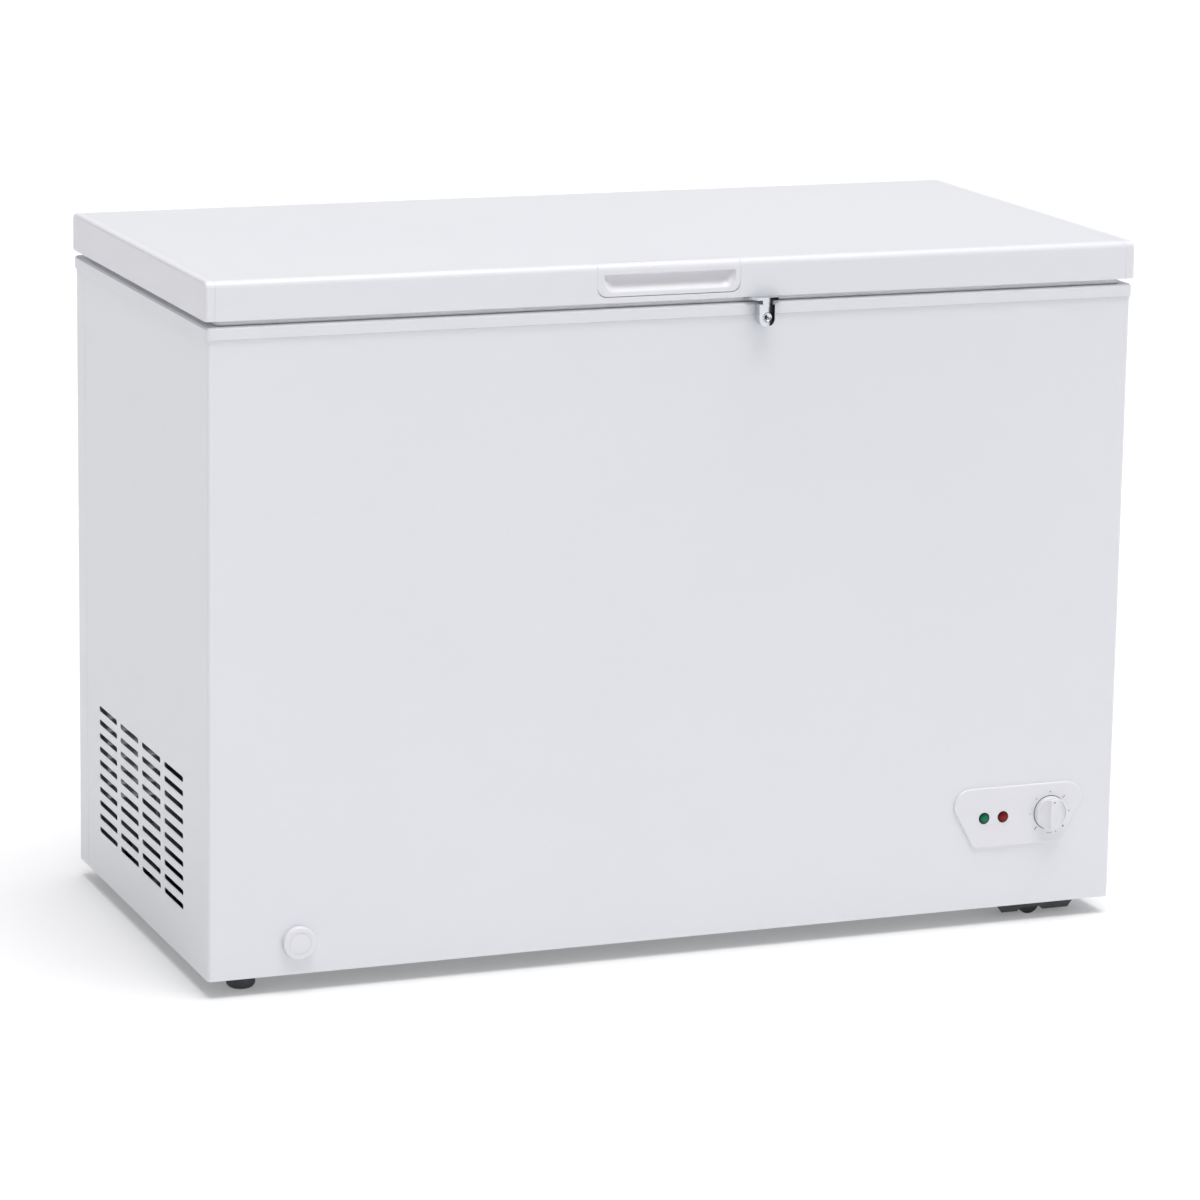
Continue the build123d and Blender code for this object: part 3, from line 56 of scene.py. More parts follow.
# ---- shader helpers ----
def linear(code):
    """An sRGB hex colour as linear RGBA."""
    parts = [int(code[i:i + 2], 16) / 255 for i in (1, 3, 5)]
    return [p / 12.92 if p <= 0.04045 else ((p + 0.055) / 1.055) ** 2.4 for p in parts] + [1.0]


def add(tree, kind, sockets=None, **settings):
    """Adds one node: settings are its own, and each socket gets a value or a link from another socket."""
    made = tree.nodes.new(kind)
    for name, value in settings.items():
        setattr(made, name, value)
    for name, value in (sockets or {}).items():
        if isinstance(value, bpy.types.NodeSocket):
            tree.links.new(value, made.inputs[name])
        else:
            made.inputs[name].default_value = value
    return made


def blank(name):
    """An empty material, its tree, and the place on the object in metres, which every pattern follows."""
    material = bpy.data.materials.new(name)
    material.use_nodes = True
    material.node_tree.nodes.clear()
    return material, material.node_tree, add(material.node_tree, "ShaderNodeTexCoord").outputs["Object"]


def shade(material, sockets):
    """Ends a material with its surface shader."""
    tree = material.node_tree
    surface = add(tree, "ShaderNodeBsdfPrincipled", sockets)
    add(tree, "ShaderNodeOutputMaterial", {"Surface": surface.outputs["BSDF"]})
    return material


def tone(tree, amount, low, high):
    """A colour between two close ones."""
    mixed = add(tree, "ShaderNodeMix", {"Factor": amount, "A": linear(low), "B": linear(high)},
                data_type="RGBA")
    return mixed.outputs["Result"]


def between(tree, amount, low, high):
    """A number that runs from low to high as amount runs from 0 to 1."""
    return add(tree, "ShaderNodeMapRange",
               {"Value": amount, "To Min": low, "To Max": high}).outputs["Result"]


def stretch(tree, at, x=1.0, y=1.0, z=1.0):
    """The place with some directions drawn out, for patterns that run along a piece."""
    return add(tree, "ShaderNodeMapping", {"Vector": at, "Scale": (x, y, z)}).outputs["Vector"]


# ---- painted and bare metal ----
def stoved_paint():
    """White paint stoved on rolled steel: even, slightly cool, with orange peel and the sheet's wave."""
    material, tree, at = blank("stoved_white_paint")
    cloud = add(tree, "ShaderNodeTexNoise", {"Vector": at, "Scale": 1 / (300 * MM), "Detail": 2.0})
    haze = add(tree, "ShaderNodeTexNoise", {"Vector": at, "Scale": 1 / (35 * MM), "Detail": 3.0})
    peel = add(tree, "ShaderNodeTexNoise",
               {"Vector": at, "Scale": 1 / (2.6 * MM), "Detail": 2.0, "Roughness": 0.4})
    wave = add(tree, "ShaderNodeBump",
               {"Height": cloud.outputs["Fac"], "Strength": 0.25, "Distance": 0.8 * MM})
    skin = add(tree, "ShaderNodeBump",
               {"Height": peel.outputs["Fac"], "Strength": 0.16, "Distance": 0.04 * MM,
                "Normal": wave.outputs["Normal"]})
    return shade(material, {
        "Base Color": tone(tree, cloud.outputs["Fac"], "#E1E2E7", "#E4E5E9"),
        "Roughness": between(tree, haze.outputs["Fac"], 0.30, 0.40),
        "IOR": 1.5, "Coat Weight": 0.15, "Coat Roughness": 0.2, "Normal": skin.outputs["Normal"]})


def galvanised():
    """Hot-dip galvanised steel: angular zinc crystals about 12 mm across, each with its own sheen."""
    material, tree, at = blank("galvanised_steel")
    crystal = add(tree, "ShaderNodeTexVoronoi", {"Vector": at, "Scale": 1 / (12 * MM)})
    bloom = add(tree, "ShaderNodeTexNoise", {"Vector": at, "Scale": 1 / (60 * MM), "Detail": 4.0})
    edge = add(tree, "ShaderNodeBump",
               {"Height": crystal.outputs["Distance"], "Strength": 0.12, "Distance": 0.1 * MM})
    sheen = add(tree, "ShaderNodeMath", {0: crystal.outputs["Color"], 1: bloom.outputs["Fac"]},
                operation="MULTIPLY")
    return shade(material, {
        "Base Color": tone(tree, sheen.outputs[0], "#9CA1A6", "#C3C8CC"), "Metallic": 1.0,
        "Roughness": between(tree, crystal.outputs["Color"], 0.34, 0.52), "Normal": edge.outputs["Normal"]})


def stucco_aluminium():
    """Aluminium rolled with a stucco pattern of 5 mm dimples, which breaks reflections into sparkles."""
    material, tree, at = blank("stucco_aluminium")
    bent = add(tree, "ShaderNodeTexNoise", {"Vector": at, "Scale": 1 / (9 * MM), "Detail": 1.0})
    moved = add(tree, "ShaderNodeVectorMath", {0: bent.outputs["Color"], 1: (4 * MM, 4 * MM, 4 * MM)},
                operation="MULTIPLY")
    place = add(tree, "ShaderNodeVectorMath", {0: at, 1: moved.outputs[0]}, operation="ADD")
    dimple = add(tree, "ShaderNodeTexVoronoi",
                 {"Vector": place.outputs[0], "Scale": 1 / (5 * MM), "Smoothness": 0.7},
                 feature="SMOOTH_F1")
    relief = add(tree, "ShaderNodeBump",
                 {"Height": dimple.outputs["Distance"], "Strength": 0.55, "Distance": 0.9 * MM})
    frost = add(tree, "ShaderNodeTexNoise", {"Vector": at, "Scale": 1 / (90 * MM), "Detail": 4.0})
    # The base colour darkens into each dimple's hollow and lightens on the ridges: painted shade.
    return shade(material, {
        "Base Color": tone(tree, dimple.outputs["Distance"], "#C9CDD1", "#E2E4E6"), "Metallic": 1.0,
        "Roughness": between(tree, frost.outputs["Fac"], 0.26, 0.42), "Normal": relief.outputs["Normal"]})


def zinc_plate():
    """Bright zinc plate on pressed steel: cool grey with a faint warm bloom and fine drawing marks."""
    material, tree, at = blank("bright_zinc_plate")
    bloom = add(tree, "ShaderNodeTexNoise", {"Vector": at, "Scale": 1 / (18 * MM), "Detail": 5.0})
    marks = add(tree, "ShaderNodeTexNoise", {"Vector": stretch(tree, at, z=0.08), "Scale": 1 / (0.7 * MM)})
    relief = add(tree, "ShaderNodeBump",
                 {"Height": marks.outputs["Fac"], "Strength": 0.12, "Distance": 0.03 * MM})
    return shade(material, {
        "Base Color": tone(tree, bloom.outputs["Fac"], "#B9BEC4", "#CDC9BC"), "Metallic": 1.0,
        "Roughness": between(tree, bloom.outputs["Fac"], 0.25, 0.42), "Normal": relief.outputs["Normal"]})


def chrome_plate():
    """Polished chrome on a die casting: near-mirror, with the slightest ripple of the polish."""
    material, tree, at = blank("polished_chrome")
    ripple = add(tree, "ShaderNodeTexNoise", {"Vector": at, "Scale": 1 / (6 * MM), "Detail": 1.0})
    relief = add(tree, "ShaderNodeBump",
                 {"Height": ripple.outputs["Fac"], "Strength": 0.05, "Distance": 0.05 * MM})
    wipe = add(tree, "ShaderNodeTexNoise", {"Vector": at, "Scale": 1 / (3 * MM), "Detail": 4.0})
    return shade(material, {
        "Base Color": tone(tree, wipe.outputs["Fac"], "#C4C8CF", "#DDE0E4"), "Metallic": 1.0,
        "Roughness": between(tree, wipe.outputs["Fac"], 0.01, 0.03), "Normal": relief.outputs["Normal"]})


def spring_wire():
    """Oiled spring steel: dark, with a warm oil film over drawing marks that run round the wire."""
    material, tree, at = blank("oiled_spring_steel")
    film = add(tree, "ShaderNodeTexNoise", {"Vector": at, "Scale": 1 / (8 * MM), "Detail": 3.0})
    relief = add(tree, "ShaderNodeBump",
                 {"Height": film.outputs["Fac"], "Strength": 0.2, "Distance": 0.05 * MM})
    return shade(material, {
        "Base Color": tone(tree, film.outputs["Fac"], "#55575B", "#6E675C"), "Metallic": 1.0,
        "Roughness": between(tree, film.outputs["Fac"], 0.28, 0.45), "Normal": relief.outputs["Normal"]})


def drawn_tube(name, bright, dull, seam):
    """Soft drawn tube: bright where handled, duller in patches, with fine lines along the run."""
    material, tree, at = blank(name)
    patch = add(tree, "ShaderNodeTexNoise", {"Vector": at, "Scale": 1 / (22 * MM), "Detail": 5.0})
    line = add(tree, "ShaderNodeTexNoise", {"Vector": stretch(tree, at, x=0.1), "Scale": 1 / (seam * MM)})
    relief = add(tree, "ShaderNodeBump",
                 {"Height": line.outputs["Fac"], "Strength": 0.15, "Distance": 0.04 * MM})
    return shade(material, {
        "Base Color": tone(tree, patch.outputs["Fac"], dull, bright), "Metallic": 1.0,
        "Roughness": between(tree, patch.outputs["Fac"], 0.48, 0.24), "Normal": relief.outputs["Normal"]})


def black_enamel():
    """Black enamel baked on the compressor's shell: glossy, with orange peel and a little dust on top."""
    material, tree, at = blank("black_baked_enamel")
    peel = add(tree, "ShaderNodeTexNoise", {"Vector": at, "Scale": 1 / (3.5 * MM), "Detail": 2.0})
    dust = add(tree, "ShaderNodeTexNoise", {"Vector": at, "Scale": 1 / (40 * MM), "Detail": 6.0})
    relief = add(tree, "ShaderNodeBump",
                 {"Height": peel.outputs["Fac"], "Strength": 0.2, "Distance": 0.08 * MM})
    return shade(material, {
        "Base Color": tone(tree, dust.outputs["Fac"], "#0C0C0E", "#1D1D1F"), "IOR": 1.5,
        "Roughness": between(tree, dust.outputs["Fac"], 0.22, 0.5), "Coat Weight": 0.4,
        "Normal": relief.outputs["Normal"]})


# ---- plastics, rubber and foam ----
def moulded(name, low, high, gloss, grain, depth):
    """Injection-moulded plastic: an even colour, with the mould's fine spark-eroded grain."""
    material, tree, at = blank(name)
    cloud = add(tree, "ShaderNodeTexNoise", {"Vector": at, "Scale": 1 / (50 * MM), "Detail": 2.0})
    spark = add(tree, "ShaderNodeTexNoise", {"Vector": at, "Scale": 1 / (grain * MM), "Detail": 2.0})
    relief = add(tree, "ShaderNodeBump",
                 {"Height": spark.outputs["Fac"], "Strength": 0.2, "Distance": depth * MM})
    return shade(material, {
        "Base Color": tone(tree, cloud.outputs["Fac"], low, high),
        "Roughness": between(tree, spark.outputs["Fac"], gloss, gloss + 0.12),
        "IOR": 1.53, "Normal": relief.outputs["Normal"]})


def scoop_plastic():
    """The handle's ABS: finely grained on its lip, polished inside the scoop and whiter there, which is
    painted light for the scoop's lit slope.
    """
    material, tree, at = blank("scoop_abs_with_painted_light")
    place = add(tree, "ShaderNodeSeparateXYZ", {"Vector": at}).outputs
    face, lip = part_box("handle_bezel")[0].y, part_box("handle_bezel")[0].z + OPENING_HEAD
    inside = add(tree, "ShaderNodeMapRange", {"Value": place["Y"], "From Min": face + 0.4 * MM,
                                              "From Max": face + 2.6 * MM}, interpolation_type="SMOOTHSTEP")
    under = add(tree, "ShaderNodeMapRange", {"Value": place["Z"], "From Min": lip + 1 * MM,
                                             "From Max": lip + 0.5 * MM})
    polish_and_painted_light = add(tree, "ShaderNodeMath", {0: inside.outputs["Result"], 1: under.outputs["Result"]},
                   operation="MULTIPLY")
    grain = add(tree, "ShaderNodeTexNoise", {"Vector": at, "Scale": 1 / (1.1 * MM), "Detail": 3.0})
    relief = add(tree, "ShaderNodeBump",
                 {"Height": grain.outputs["Fac"], "Strength": 0.15, "Distance": 0.04 * MM})
    return shade(material, {
        # Inside the scoop, under the lip, the colour is whiter: painted light.
        "Base Color": tone(tree, polish_and_painted_light.outputs[0], "#E3E3E8", "#F6F6F8"),
        "Roughness": between(tree, polish_and_painted_light.outputs[0], 0.36, 0.26), "IOR": 1.52,
        "Normal": relief.outputs["Normal"]})


def extruded_rim():
    """Extruded PVC rim: the same white as the lid, with faint die lines that run along it."""
    material, tree, at = blank("extruded_pvc_rim")
    die = add(tree, "ShaderNodeTexNoise",
              {"Vector": stretch(tree, at, x=0.02, y=0.02), "Scale": 1 / (1.6 * MM)})
    cloud = add(tree, "ShaderNodeTexNoise", {"Vector": at, "Scale": 1 / (120 * MM), "Detail": 2.0})
    relief = add(tree, "ShaderNodeBump",
                 {"Height": die.outputs["Fac"], "Strength": 0.2, "Distance": 0.08 * MM})
    return shade(material, {
        "Base Color": tone(tree, cloud.outputs["Fac"], "#DFE0E4", "#E3E4E8"),
        "Roughness": between(tree, die.outputs["Fac"], 0.32, 0.42), "IOR": 1.53,
        "Normal": relief.outputs["Normal"]})


def formed_polystyrene():
    """Vacuum-formed polystyrene: glossy white, with the soft ripple that forming leaves in a thin sheet."""
    material, tree, at = blank("formed_polystyrene")
    ripple = add(tree, "ShaderNodeTexNoise", {"Vector": at, "Scale": 1 / (70 * MM), "Detail": 2.0})
    relief = add(tree, "ShaderNodeBump",
                 {"Height": ripple.outputs["Fac"], "Strength": 0.3, "Distance": 1.2 * MM})
    return shade(material, {
        "Base Color": tone(tree, ripple.outputs["Fac"], "#E7E9EC", "#EEEFF1"),
        "Roughness": between(tree, ripple.outputs["Fac"], 0.18, 0.28), "IOR": 1.59,
        "Subsurface Weight": 0.05, "Subsurface Radius": (0.004, 0.004, 0.004),
        "Normal": relief.outputs["Normal"]})


def gasket_vinyl():
    """Soft vinyl gasket: pale grey, matt, a little darker where it has been handled."""
    material, tree, at = blank("soft_vinyl_gasket")
    handled = add(tree, "ShaderNodeTexNoise", {"Vector": at, "Scale": 1 / (45 * MM), "Detail": 4.0})
    pore = add(tree, "ShaderNodeTexNoise", {"Vector": at, "Scale": 1 / (0.9 * MM)})
    relief = add(tree, "ShaderNodeBump",
                 {"Height": pore.outputs["Fac"], "Strength": 0.15, "Distance": 0.05 * MM})
    return shade(material, {
        "Base Color": tone(tree, handled.outputs["Fac"], "#E2E2E5", "#ECECEF"),
        "Roughness": between(tree, handled.outputs["Fac"], 0.5, 0.62), "IOR": 1.52,
        "Normal": relief.outputs["Normal"]})


def black_rubber():
    """Moulded black rubber: matt, with grey dust held in its pores."""
    material, tree, at = blank("moulded_black_rubber")
    dust = add(tree, "ShaderNodeTexNoise", {"Vector": at, "Scale": 1 / (14 * MM), "Detail": 6.0})
    pore = add(tree, "ShaderNodeTexVoronoi", {"Vector": at, "Scale": 1 / (1.2 * MM)})
    relief = add(tree, "ShaderNodeBump",
                 {"Height": pore.outputs["Distance"], "Strength": 0.2, "Distance": 0.1 * MM})
    return shade(material, {
        "Base Color": tone(tree, dust.outputs["Fac"], "#08080A", "#1A1A1C"),
        "Roughness": between(tree, dust.outputs["Fac"], 0.55, 0.8), "IOR": 1.52,
        "Normal": relief.outputs["Normal"]})


def rigid_foam():
    """Poured polyurethane foam: cream, matt, made of small closed cells."""
    material, tree, at = blank("poured_polyurethane_foam")
    cell = add(tree, "ShaderNodeTexVoronoi", {"Vector": at, "Scale": 1 / (1.5 * MM)})
    skin = add(tree, "ShaderNodeTexNoise", {"Vector": at, "Scale": 1 / (60 * MM), "Detail": 5.0})
    relief = add(tree, "ShaderNodeBump",
                 {"Height": cell.outputs["Distance"], "Strength": 0.5, "Distance": 0.5 * MM})
    return shade(material, {
        "Base Color": tone(tree, skin.outputs["Fac"], "#D3BE86", "#E6D9AE"), "Roughness": 0.9, "IOR": 1.45,
        "Normal": relief.outputs["Normal"]})


def ribbed_hose():
    """Extruded soft PVC hose: grey, half-matt, with a fine rib every 3 mm."""
    material, tree, at = blank("soft_pvc_hose")
    rib = add(tree, "ShaderNodeTexWave", {"Vector": at, "Scale": 1 / (20 * 3 * MM), "Distortion": 0.4},
              bands_direction="DIAGONAL")
    cloud = add(tree, "ShaderNodeTexNoise", {"Vector": at, "Scale": 1 / (30 * MM), "Detail": 3.0})
    relief = add(tree, "ShaderNodeBump",
                 {"Height": rib.outputs["Fac"], "Strength": 0.3, "Distance": 0.3 * MM})
    return shade(material, {
        "Base Color": tone(tree, cloud.outputs["Fac"], "#84878B", "#96999C"),
        "Roughness": between(tree, cloud.outputs["Fac"], 0.4, 0.55), "IOR": 1.53,
        "Normal": relief.outputs["Normal"]})


def tinted_lens(name, node, rim, middle):
    """Tinted acrylic lens: clear and glossy, and deeper in colour towards its rim, where it is thicker."""
    material, tree, at = blank(name)
    low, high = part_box(node)
    centre = add(tree, "ShaderNodeVectorMath", {0: at, 1: (low + high) / 2}, operation="SUBTRACT")
    flat = add(tree, "ShaderNodeVectorMath", {0: centre.outputs[0], 1: (1.0, 0.0, 1.0)},
               operation="MULTIPLY")
    radius = add(tree, "ShaderNodeVectorMath", {0: flat.outputs[0]}, operation="LENGTH")
    outward = add(tree, "ShaderNodeMapRange", {"Value": radius.outputs["Value"], "From Min": 2.6 * MM,
                                               "From Max": 6.8 * MM}, interpolation_type="SMOOTHSTEP")
    prism = add(tree, "ShaderNodeTexVoronoi", {"Vector": at, "Scale": 1 / (1.4 * MM)})
    relief = add(tree, "ShaderNodeBump", {"Height": prism.outputs["Distance"], "Strength": 0.08,
                                          "Distance": 0.2 * MM})
    return shade(material, {
        "Base Color": tone(tree, outward.outputs["Result"], middle, rim),
        "Roughness": between(tree, prism.outputs["Distance"], 0.12, 0.2), "IOR": 1.49,
        "Specular IOR Level": 0.25, "Normal": relief.outputs["Normal"]})


def printed_ink():
    """Pad-printed grey ink: thin and matt, a little uneven at its edges."""
    material, tree, at = blank("pad_printed_ink")
    cover = add(tree, "ShaderNodeTexNoise", {"Vector": at, "Scale": 1 / (0.8 * MM), "Detail": 3.0})
    return shade(material, {
        "Base Color": tone(tree, cover.outputs["Fac"], "#85878C", "#A3A5AA"),
        "Roughness": between(tree, cover.outputs["Fac"], 0.5, 0.65), "IOR": 1.5})


FINISHES = {
    "white_sheet": stoved_paint(),
    "galvanised_sheet": galvanised(),
    "embossed_aluminium": stucco_aluminium(),
    "polyurethane_foam": rigid_foam(),
    "white_plastic": moulded("white_moulded_abs", "#E1E1E6", "#E4E4E9", 0.3, 1.1, 0.04),
    "copper_tube": drawn_tube("drawn_copper_tube", "#C98356", "#8A5A42", 0.6),
    "aluminium_tube": drawn_tube("drawn_aluminium_tube", "#D3D6D9", "#A9ADB1", 0.8),
    "black_paint": black_enamel(),
    "black_plastic": moulded("black_moulded_nylon", "#121214", "#1C1C1F", 0.42, 0.9, 0.06),
    "black_rubber": black_rubber(),
    "grey_gasket": gasket_vinyl(),
    "zinc_steel": zinc_plate(),
    "dark_bracket": moulded("dark_grey_painted_bracket", "#3B3C3F", "#47484B", 0.45, 1.3, 0.06),
    "grey_hose": ribbed_hose(),
    "green_lens": tinted_lens("green_acrylic_lens", "green_lamp", "#021E16", "#02714C"),
    "red_lens": tinted_lens("red_acrylic_lens", "red_lamp", "#1A0206", "#860006"),
    "plated_lock": chrome_plate(),
    "spring_steel": spring_wire(),
    "dark_foot": moulded("glass_filled_nylon_foot", "#333437", "#434448", 0.5, 0.8, 0.08),
    "coated_wire": moulded("polyethylene_coated_wire", "#E8E9EC", "#F0F1F2", 0.25, 2.0, 0.05),
}
OWN_FINISH = {"top_rim": extruded_rim(), "lid_liner": formed_polystyrene(),
              "roller_axles": FINISHES["dark_bracket"]}   # enamelled together with their brackets


def dress_cad_nodes():
    """Gives every CAD node the finish of its slot, or its own."""
    for name, piece in frame["nodes"].items():
        piece.data.materials.clear()
        piece.data.materials.append(OWN_FINISH.get(name, FINISHES[slot_of[name]]))


# ---- mesh helpers ----
def solid(name, points, faces, finish, smooth=True):
    """A mesh object from its points and faces."""
    mesh = bpy.data.meshes.new(name)
    mesh.from_pydata([tuple(p) for p in points], [], faces)
    mesh.validate()
    mesh.polygons.foreach_set("use_smooth", [smooth] * len(mesh.polygons))
    mesh.materials.append(finish)
    piece = bpy.data.objects.new(name, mesh)
    bpy.context.scene.collection.objects.link(piece)
    return piece


def wires(name, paths, radius, finish):
    """Round wires along paths of points; a path that ends where it began is closed."""
    curve = bpy.data.curves.new(name, "CURVE")
    curve.dimensions = "3D"
    curve.bevel_depth = radius
    curve.bevel_resolution = 3
    curve.use_fill_caps = True
    for path in paths:
        closed = (path[0] - path[-1]).length < 1e-6
        points = path[:-1] if closed else path
        spline = curve.splines.new("POLY")
        spline.points.add(len(points) - 1)
        for place, point in zip(spline.points, points):
            place.co = (*point, 1.0)
        spline.use_cyclic_u = closed
    shape = bpy.data.objects.new(name + "_line", curve)
    bpy.context.scene.collection.objects.link(shape)
    bpy.context.view_layer.update()
    mesh = bpy.data.meshes.new_from_object(shape.evaluated_get(bpy.context.evaluated_depsgraph_get()))
    bpy.data.objects.remove(shape)
    mesh.name = name
    mesh.materials.clear()
    mesh.materials.append(finish)
    mesh.polygons.foreach_set("use_smooth", [True] * len(mesh.polygons))
    piece = bpy.data.objects.new(name, mesh)
    bpy.context.scene.collection.objects.link(piece)
    return piece


def rounded(points, radius, steps=5):
    """An open path with each inner corner turned into an arc."""
    path = [points[0]]
    for before, corner, after in zip(points, points[1:], points[2:]):
        back, on = (before - corner), (after - corner)
        reach = min(radius, back.length * 0.49, on.length * 0.49)
        start, end = corner + back.normalized() * reach, corner + on.normalized() * reach
        for step in range(steps + 1):
            t = step / steps
            path.append(start.lerp(corner, t).lerp(corner.lerp(end, t), t))
    return path + [points[-1]]


def ring(centre, half_x, half_y, corner, z, steps=6):
    """Points round a rectangle with rounded corners, at one height."""
    points = []
    for turn, (side_x, side_y) in enumerate(((1, 1), (-1, 1), (-1, -1), (1, -1))):
        middle = Vector((centre[0] + side_x * (half_x - corner), centre[1] + side_y * (half_y - corner), z))
        for step in range(steps + 1):
            angle = math.pi / 2 * (turn + step / steps)
            points.append(middle + corner * Vector((math.cos(angle), math.sin(angle), 0)))
    return points


def turned(centre, profile, steps=64):
    """Points and faces of a form turned about a line along Y; profile pairs are (radius, y), front first."""
    points, faces = [], []
    for radius, y in profile:
        for step in range(steps):
            angle = 2 * math.pi * step / steps
            points.append((centre[0] + radius * math.cos(angle), y, centre[1] + radius * math.sin(angle)))
    for row in range(len(profile) - 1):
        for step in range(steps):
            a, b = row * steps + step, row * steps + (step + 1) % steps
            faces.append((a, b, b + steps, a + steps))
    faces.append(tuple(reversed(range(steps))))
    faces.append(tuple(range((len(profile) - 1) * steps, len(profile) * steps)))
    return points, faces


# ---- lid gasket ----
def lid_gasket():
    """The bellows gasket: a barb in the liner, two soft folds, and the magnet's foot under them."""
    low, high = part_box("lid_gasket")
    foot, lid = low.z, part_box("lid_skin")[0].z
    width = 14 * MM
    outer = [(1.2, lid + 1.2 * MM), (0.4, lid - 0.2 * MM), (0.0, lid - 1.1 * MM), (0.5, lid - 2.3 * MM),
             (0.8, lid - 2.6 * MM), (0.3, lid - 3.0 * MM), (0.0, foot + 3.0 * MM), (0.0, foot + 1.6 * MM),
             (0.3, foot + 1.0 * MM), (0.9, foot + 0.4 * MM), (1.7, foot)]
    profile = [(inset * MM, z) for inset, z in outer]
    profile += [(width - inset, z) for inset, z in reversed(profile)]
    profile += [(8.6 * MM, lid + 1.4 * MM), (8.6 * MM, high.z - 1 * MM), (7.0 * MM, high.z),
                (5.4 * MM, high.z - 1 * MM), (5.4 * MM, lid + 1.4 * MM)]
    centre = ((low.x + high.x) / 2, (low.y + high.y) / 2)
    half_x, half_y = (high.x - low.x) / 2, (high.y - low.y) / 2
    rows = [ring(centre, half_x - d, half_y - d, max(7 * MM - d * 0.4, 1 * MM), z) for d, z in profile]
    count = len(rows[0])
    faces = []
    for row in range(len(rows)):
        below = (row + 1) % len(rows)
        for step in range(count):
            after = (step + 1) % count
            faces.append((row * count + step, below * count + step, below * count + after,
                          row * count + after))
    piece = solid("lid_bellows_gasket", [p for row in rows for p in row], faces, FINISHES["grey_gasket"])
    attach(piece, "lid")
    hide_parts("lid_gasket")


# The bead's section: (inset from the rim's face, drop under its lower edge), in mm.
SHADOW_BEAD = ((0.7, -0.2), (1.2, 0.5), (1.7, 1.0), (2.2, 1.2), (2.6, -0.2))
RIM_HEIGHT = 14 * MM
BOSS_MARGIN = 3.5 * MM       # from the lock's plug to each end of the bead
FRONT_START = 20             # the point of a ring where its front edge begins


def rim_shadow_bead():
    """A grey bead under the rim's lower edge, all round the cabinet but for the lock's boss: painted shadow
    for the dark line under the rim's overhang, drawn as a bead of sealant.
    """
    low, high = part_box("top_rim")
    centre = ((low.x + high.x) / 2, (low.y + high.y) / 2)
    half_x, half_y = (high.x - low.x) / 2, (high.y - low.y) / 2
    foot = high.z - RIM_HEIGHT
    rows = [ring(centre, half_x - inset * MM, half_y - inset * MM, 6 * MM, foot - drop * MM)
            for inset, drop in SHADOW_BEAD]
    lock_low, lock_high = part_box("lock_barrel")
    boss = (lock_low.x - BOSS_MARGIN, lock_high.x + BOSS_MARGIN)
    for row in rows:
        start = row[FRONT_START]
        row[FRONT_START + 1:FRONT_START + 1] = [Vector((x, start.y, start.z)) for x in boss]
    count, sides = len(rows[0]), len(rows)
    left_end, right_end = FRONT_START + 1, FRONT_START + 2
    faces = []
    for row in range(sides):
        below = (row + 1) % sides
        for step in range(count):
            if step != left_end:
                after = (step + 1) % count
                faces.append((row * count + step, row * count + after, below * count + after,
                              below * count + step))
    faces.append(tuple(row * count + left_end for row in range(sides)))
    faces.append(tuple(row * count + right_end for row in reversed(range(sides))))
    # The bead's grey is painted shadow: it darkens the line under the rim.
    piece = solid("rim_shadow_bead", [p for row in rows for p in row], faces,
                  moulded("grey_painted_shadow_bead", "#A2A3A7", "#ABACB0", 0.5, 1.5, 0.05))
    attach(piece, "cabinet")


# ---- lock and knob ----
def lock_plug():
    """The lock's turned plug: a rounded rim, a dished face, the key slot as a thin black prism that paints
    the keyway's shade, and the bolt behind.
    """
    low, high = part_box("lock_barrel")
    centre, face = ((low.x + high.x) / 2, (low.z + high.z) / 2), low.y
    profile = [(3.1 * MM, face + 1.2 * MM), (3.6 * MM, face + 1.1 * MM), (4.1 * MM, face + 0.4 * MM),
               (4.6 * MM, face), (5.1 * MM, face + 0.1 * MM), (5.6 * MM, face + 0.6 * MM),
               (5.8 * MM, face + 1.2 * MM), (5.8 * MM, face + 1.65 * MM), (3.5 * MM, face + 1.65 * MM),
               (3.5 * MM, high.y)]
    plug = solid("lock_plug", *turned(centre, profile), FINISHES["plated_lock"])
    turn = math.radians(30)
    along, across = (math.cos(turn), -math.sin(turn)), (math.sin(turn), math.cos(turn))
    outline = [(centre[0] + (u * 2.8 * along[0] + v * 0.8 * across[0]) * MM,
                centre[1] + (u * 2.8 * along[1] + v * 0.8 * across[1]) * MM)
               for u, v in ((-1, -0.6), (-0.9, -1), (0.9, -1), (1, -0.6),
                            (1, 0.6), (0.9, 1), (-0.9, 1), (-1, 0.6))]
    # The key slot is a shallow black prism: painted shade for the keyway's depth.
    points = [(x, face + depth * MM, z) for depth in (1.1, 1.5) for x, z in outline]
    faces = [tuple(range(8)), tuple(reversed(range(8, 16)))]
    faces += [((s + 1) % 8, s, s + 8, (s + 1) % 8 + 8) for s in range(8)]
    slot = solid("lock_keyway_painted_shade", points, faces, FINISHES["black_plastic"], smooth=False)
    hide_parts("lock_barrel")
    for piece, name in ((plug, "plated_lock"), (slot, "black_plastic")):
        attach(piece, "lock")


def knob_gap():
    """A dark grey ring on the panel round the knob: painted shadow for the gap between knob and panel."""
    low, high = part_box("thermostat_knob")
    centre = ((low.x + high.x) / 2, (low.z + high.z) / 2)
    radius, face = (high.x - low.x) / 2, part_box("control_panel")[0].y
    profile = [(radius - 0.6 * MM, face - 0.15 * MM), (radius + 0.9 * MM, face - 0.15 * MM),
               (radius + 1.1 * MM, face + 0.3 * MM)]
    # The ring's dark grey is painted shadow, not a part of its own.
    piece = solid("knob_gap_painted_shadow", *turned(centre, profile),
                  moulded("painted_gap_shadow_grey", "#5E5F63", "#66676B", 0.45, 1.0, 0.04))
    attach(piece, "cabinet")


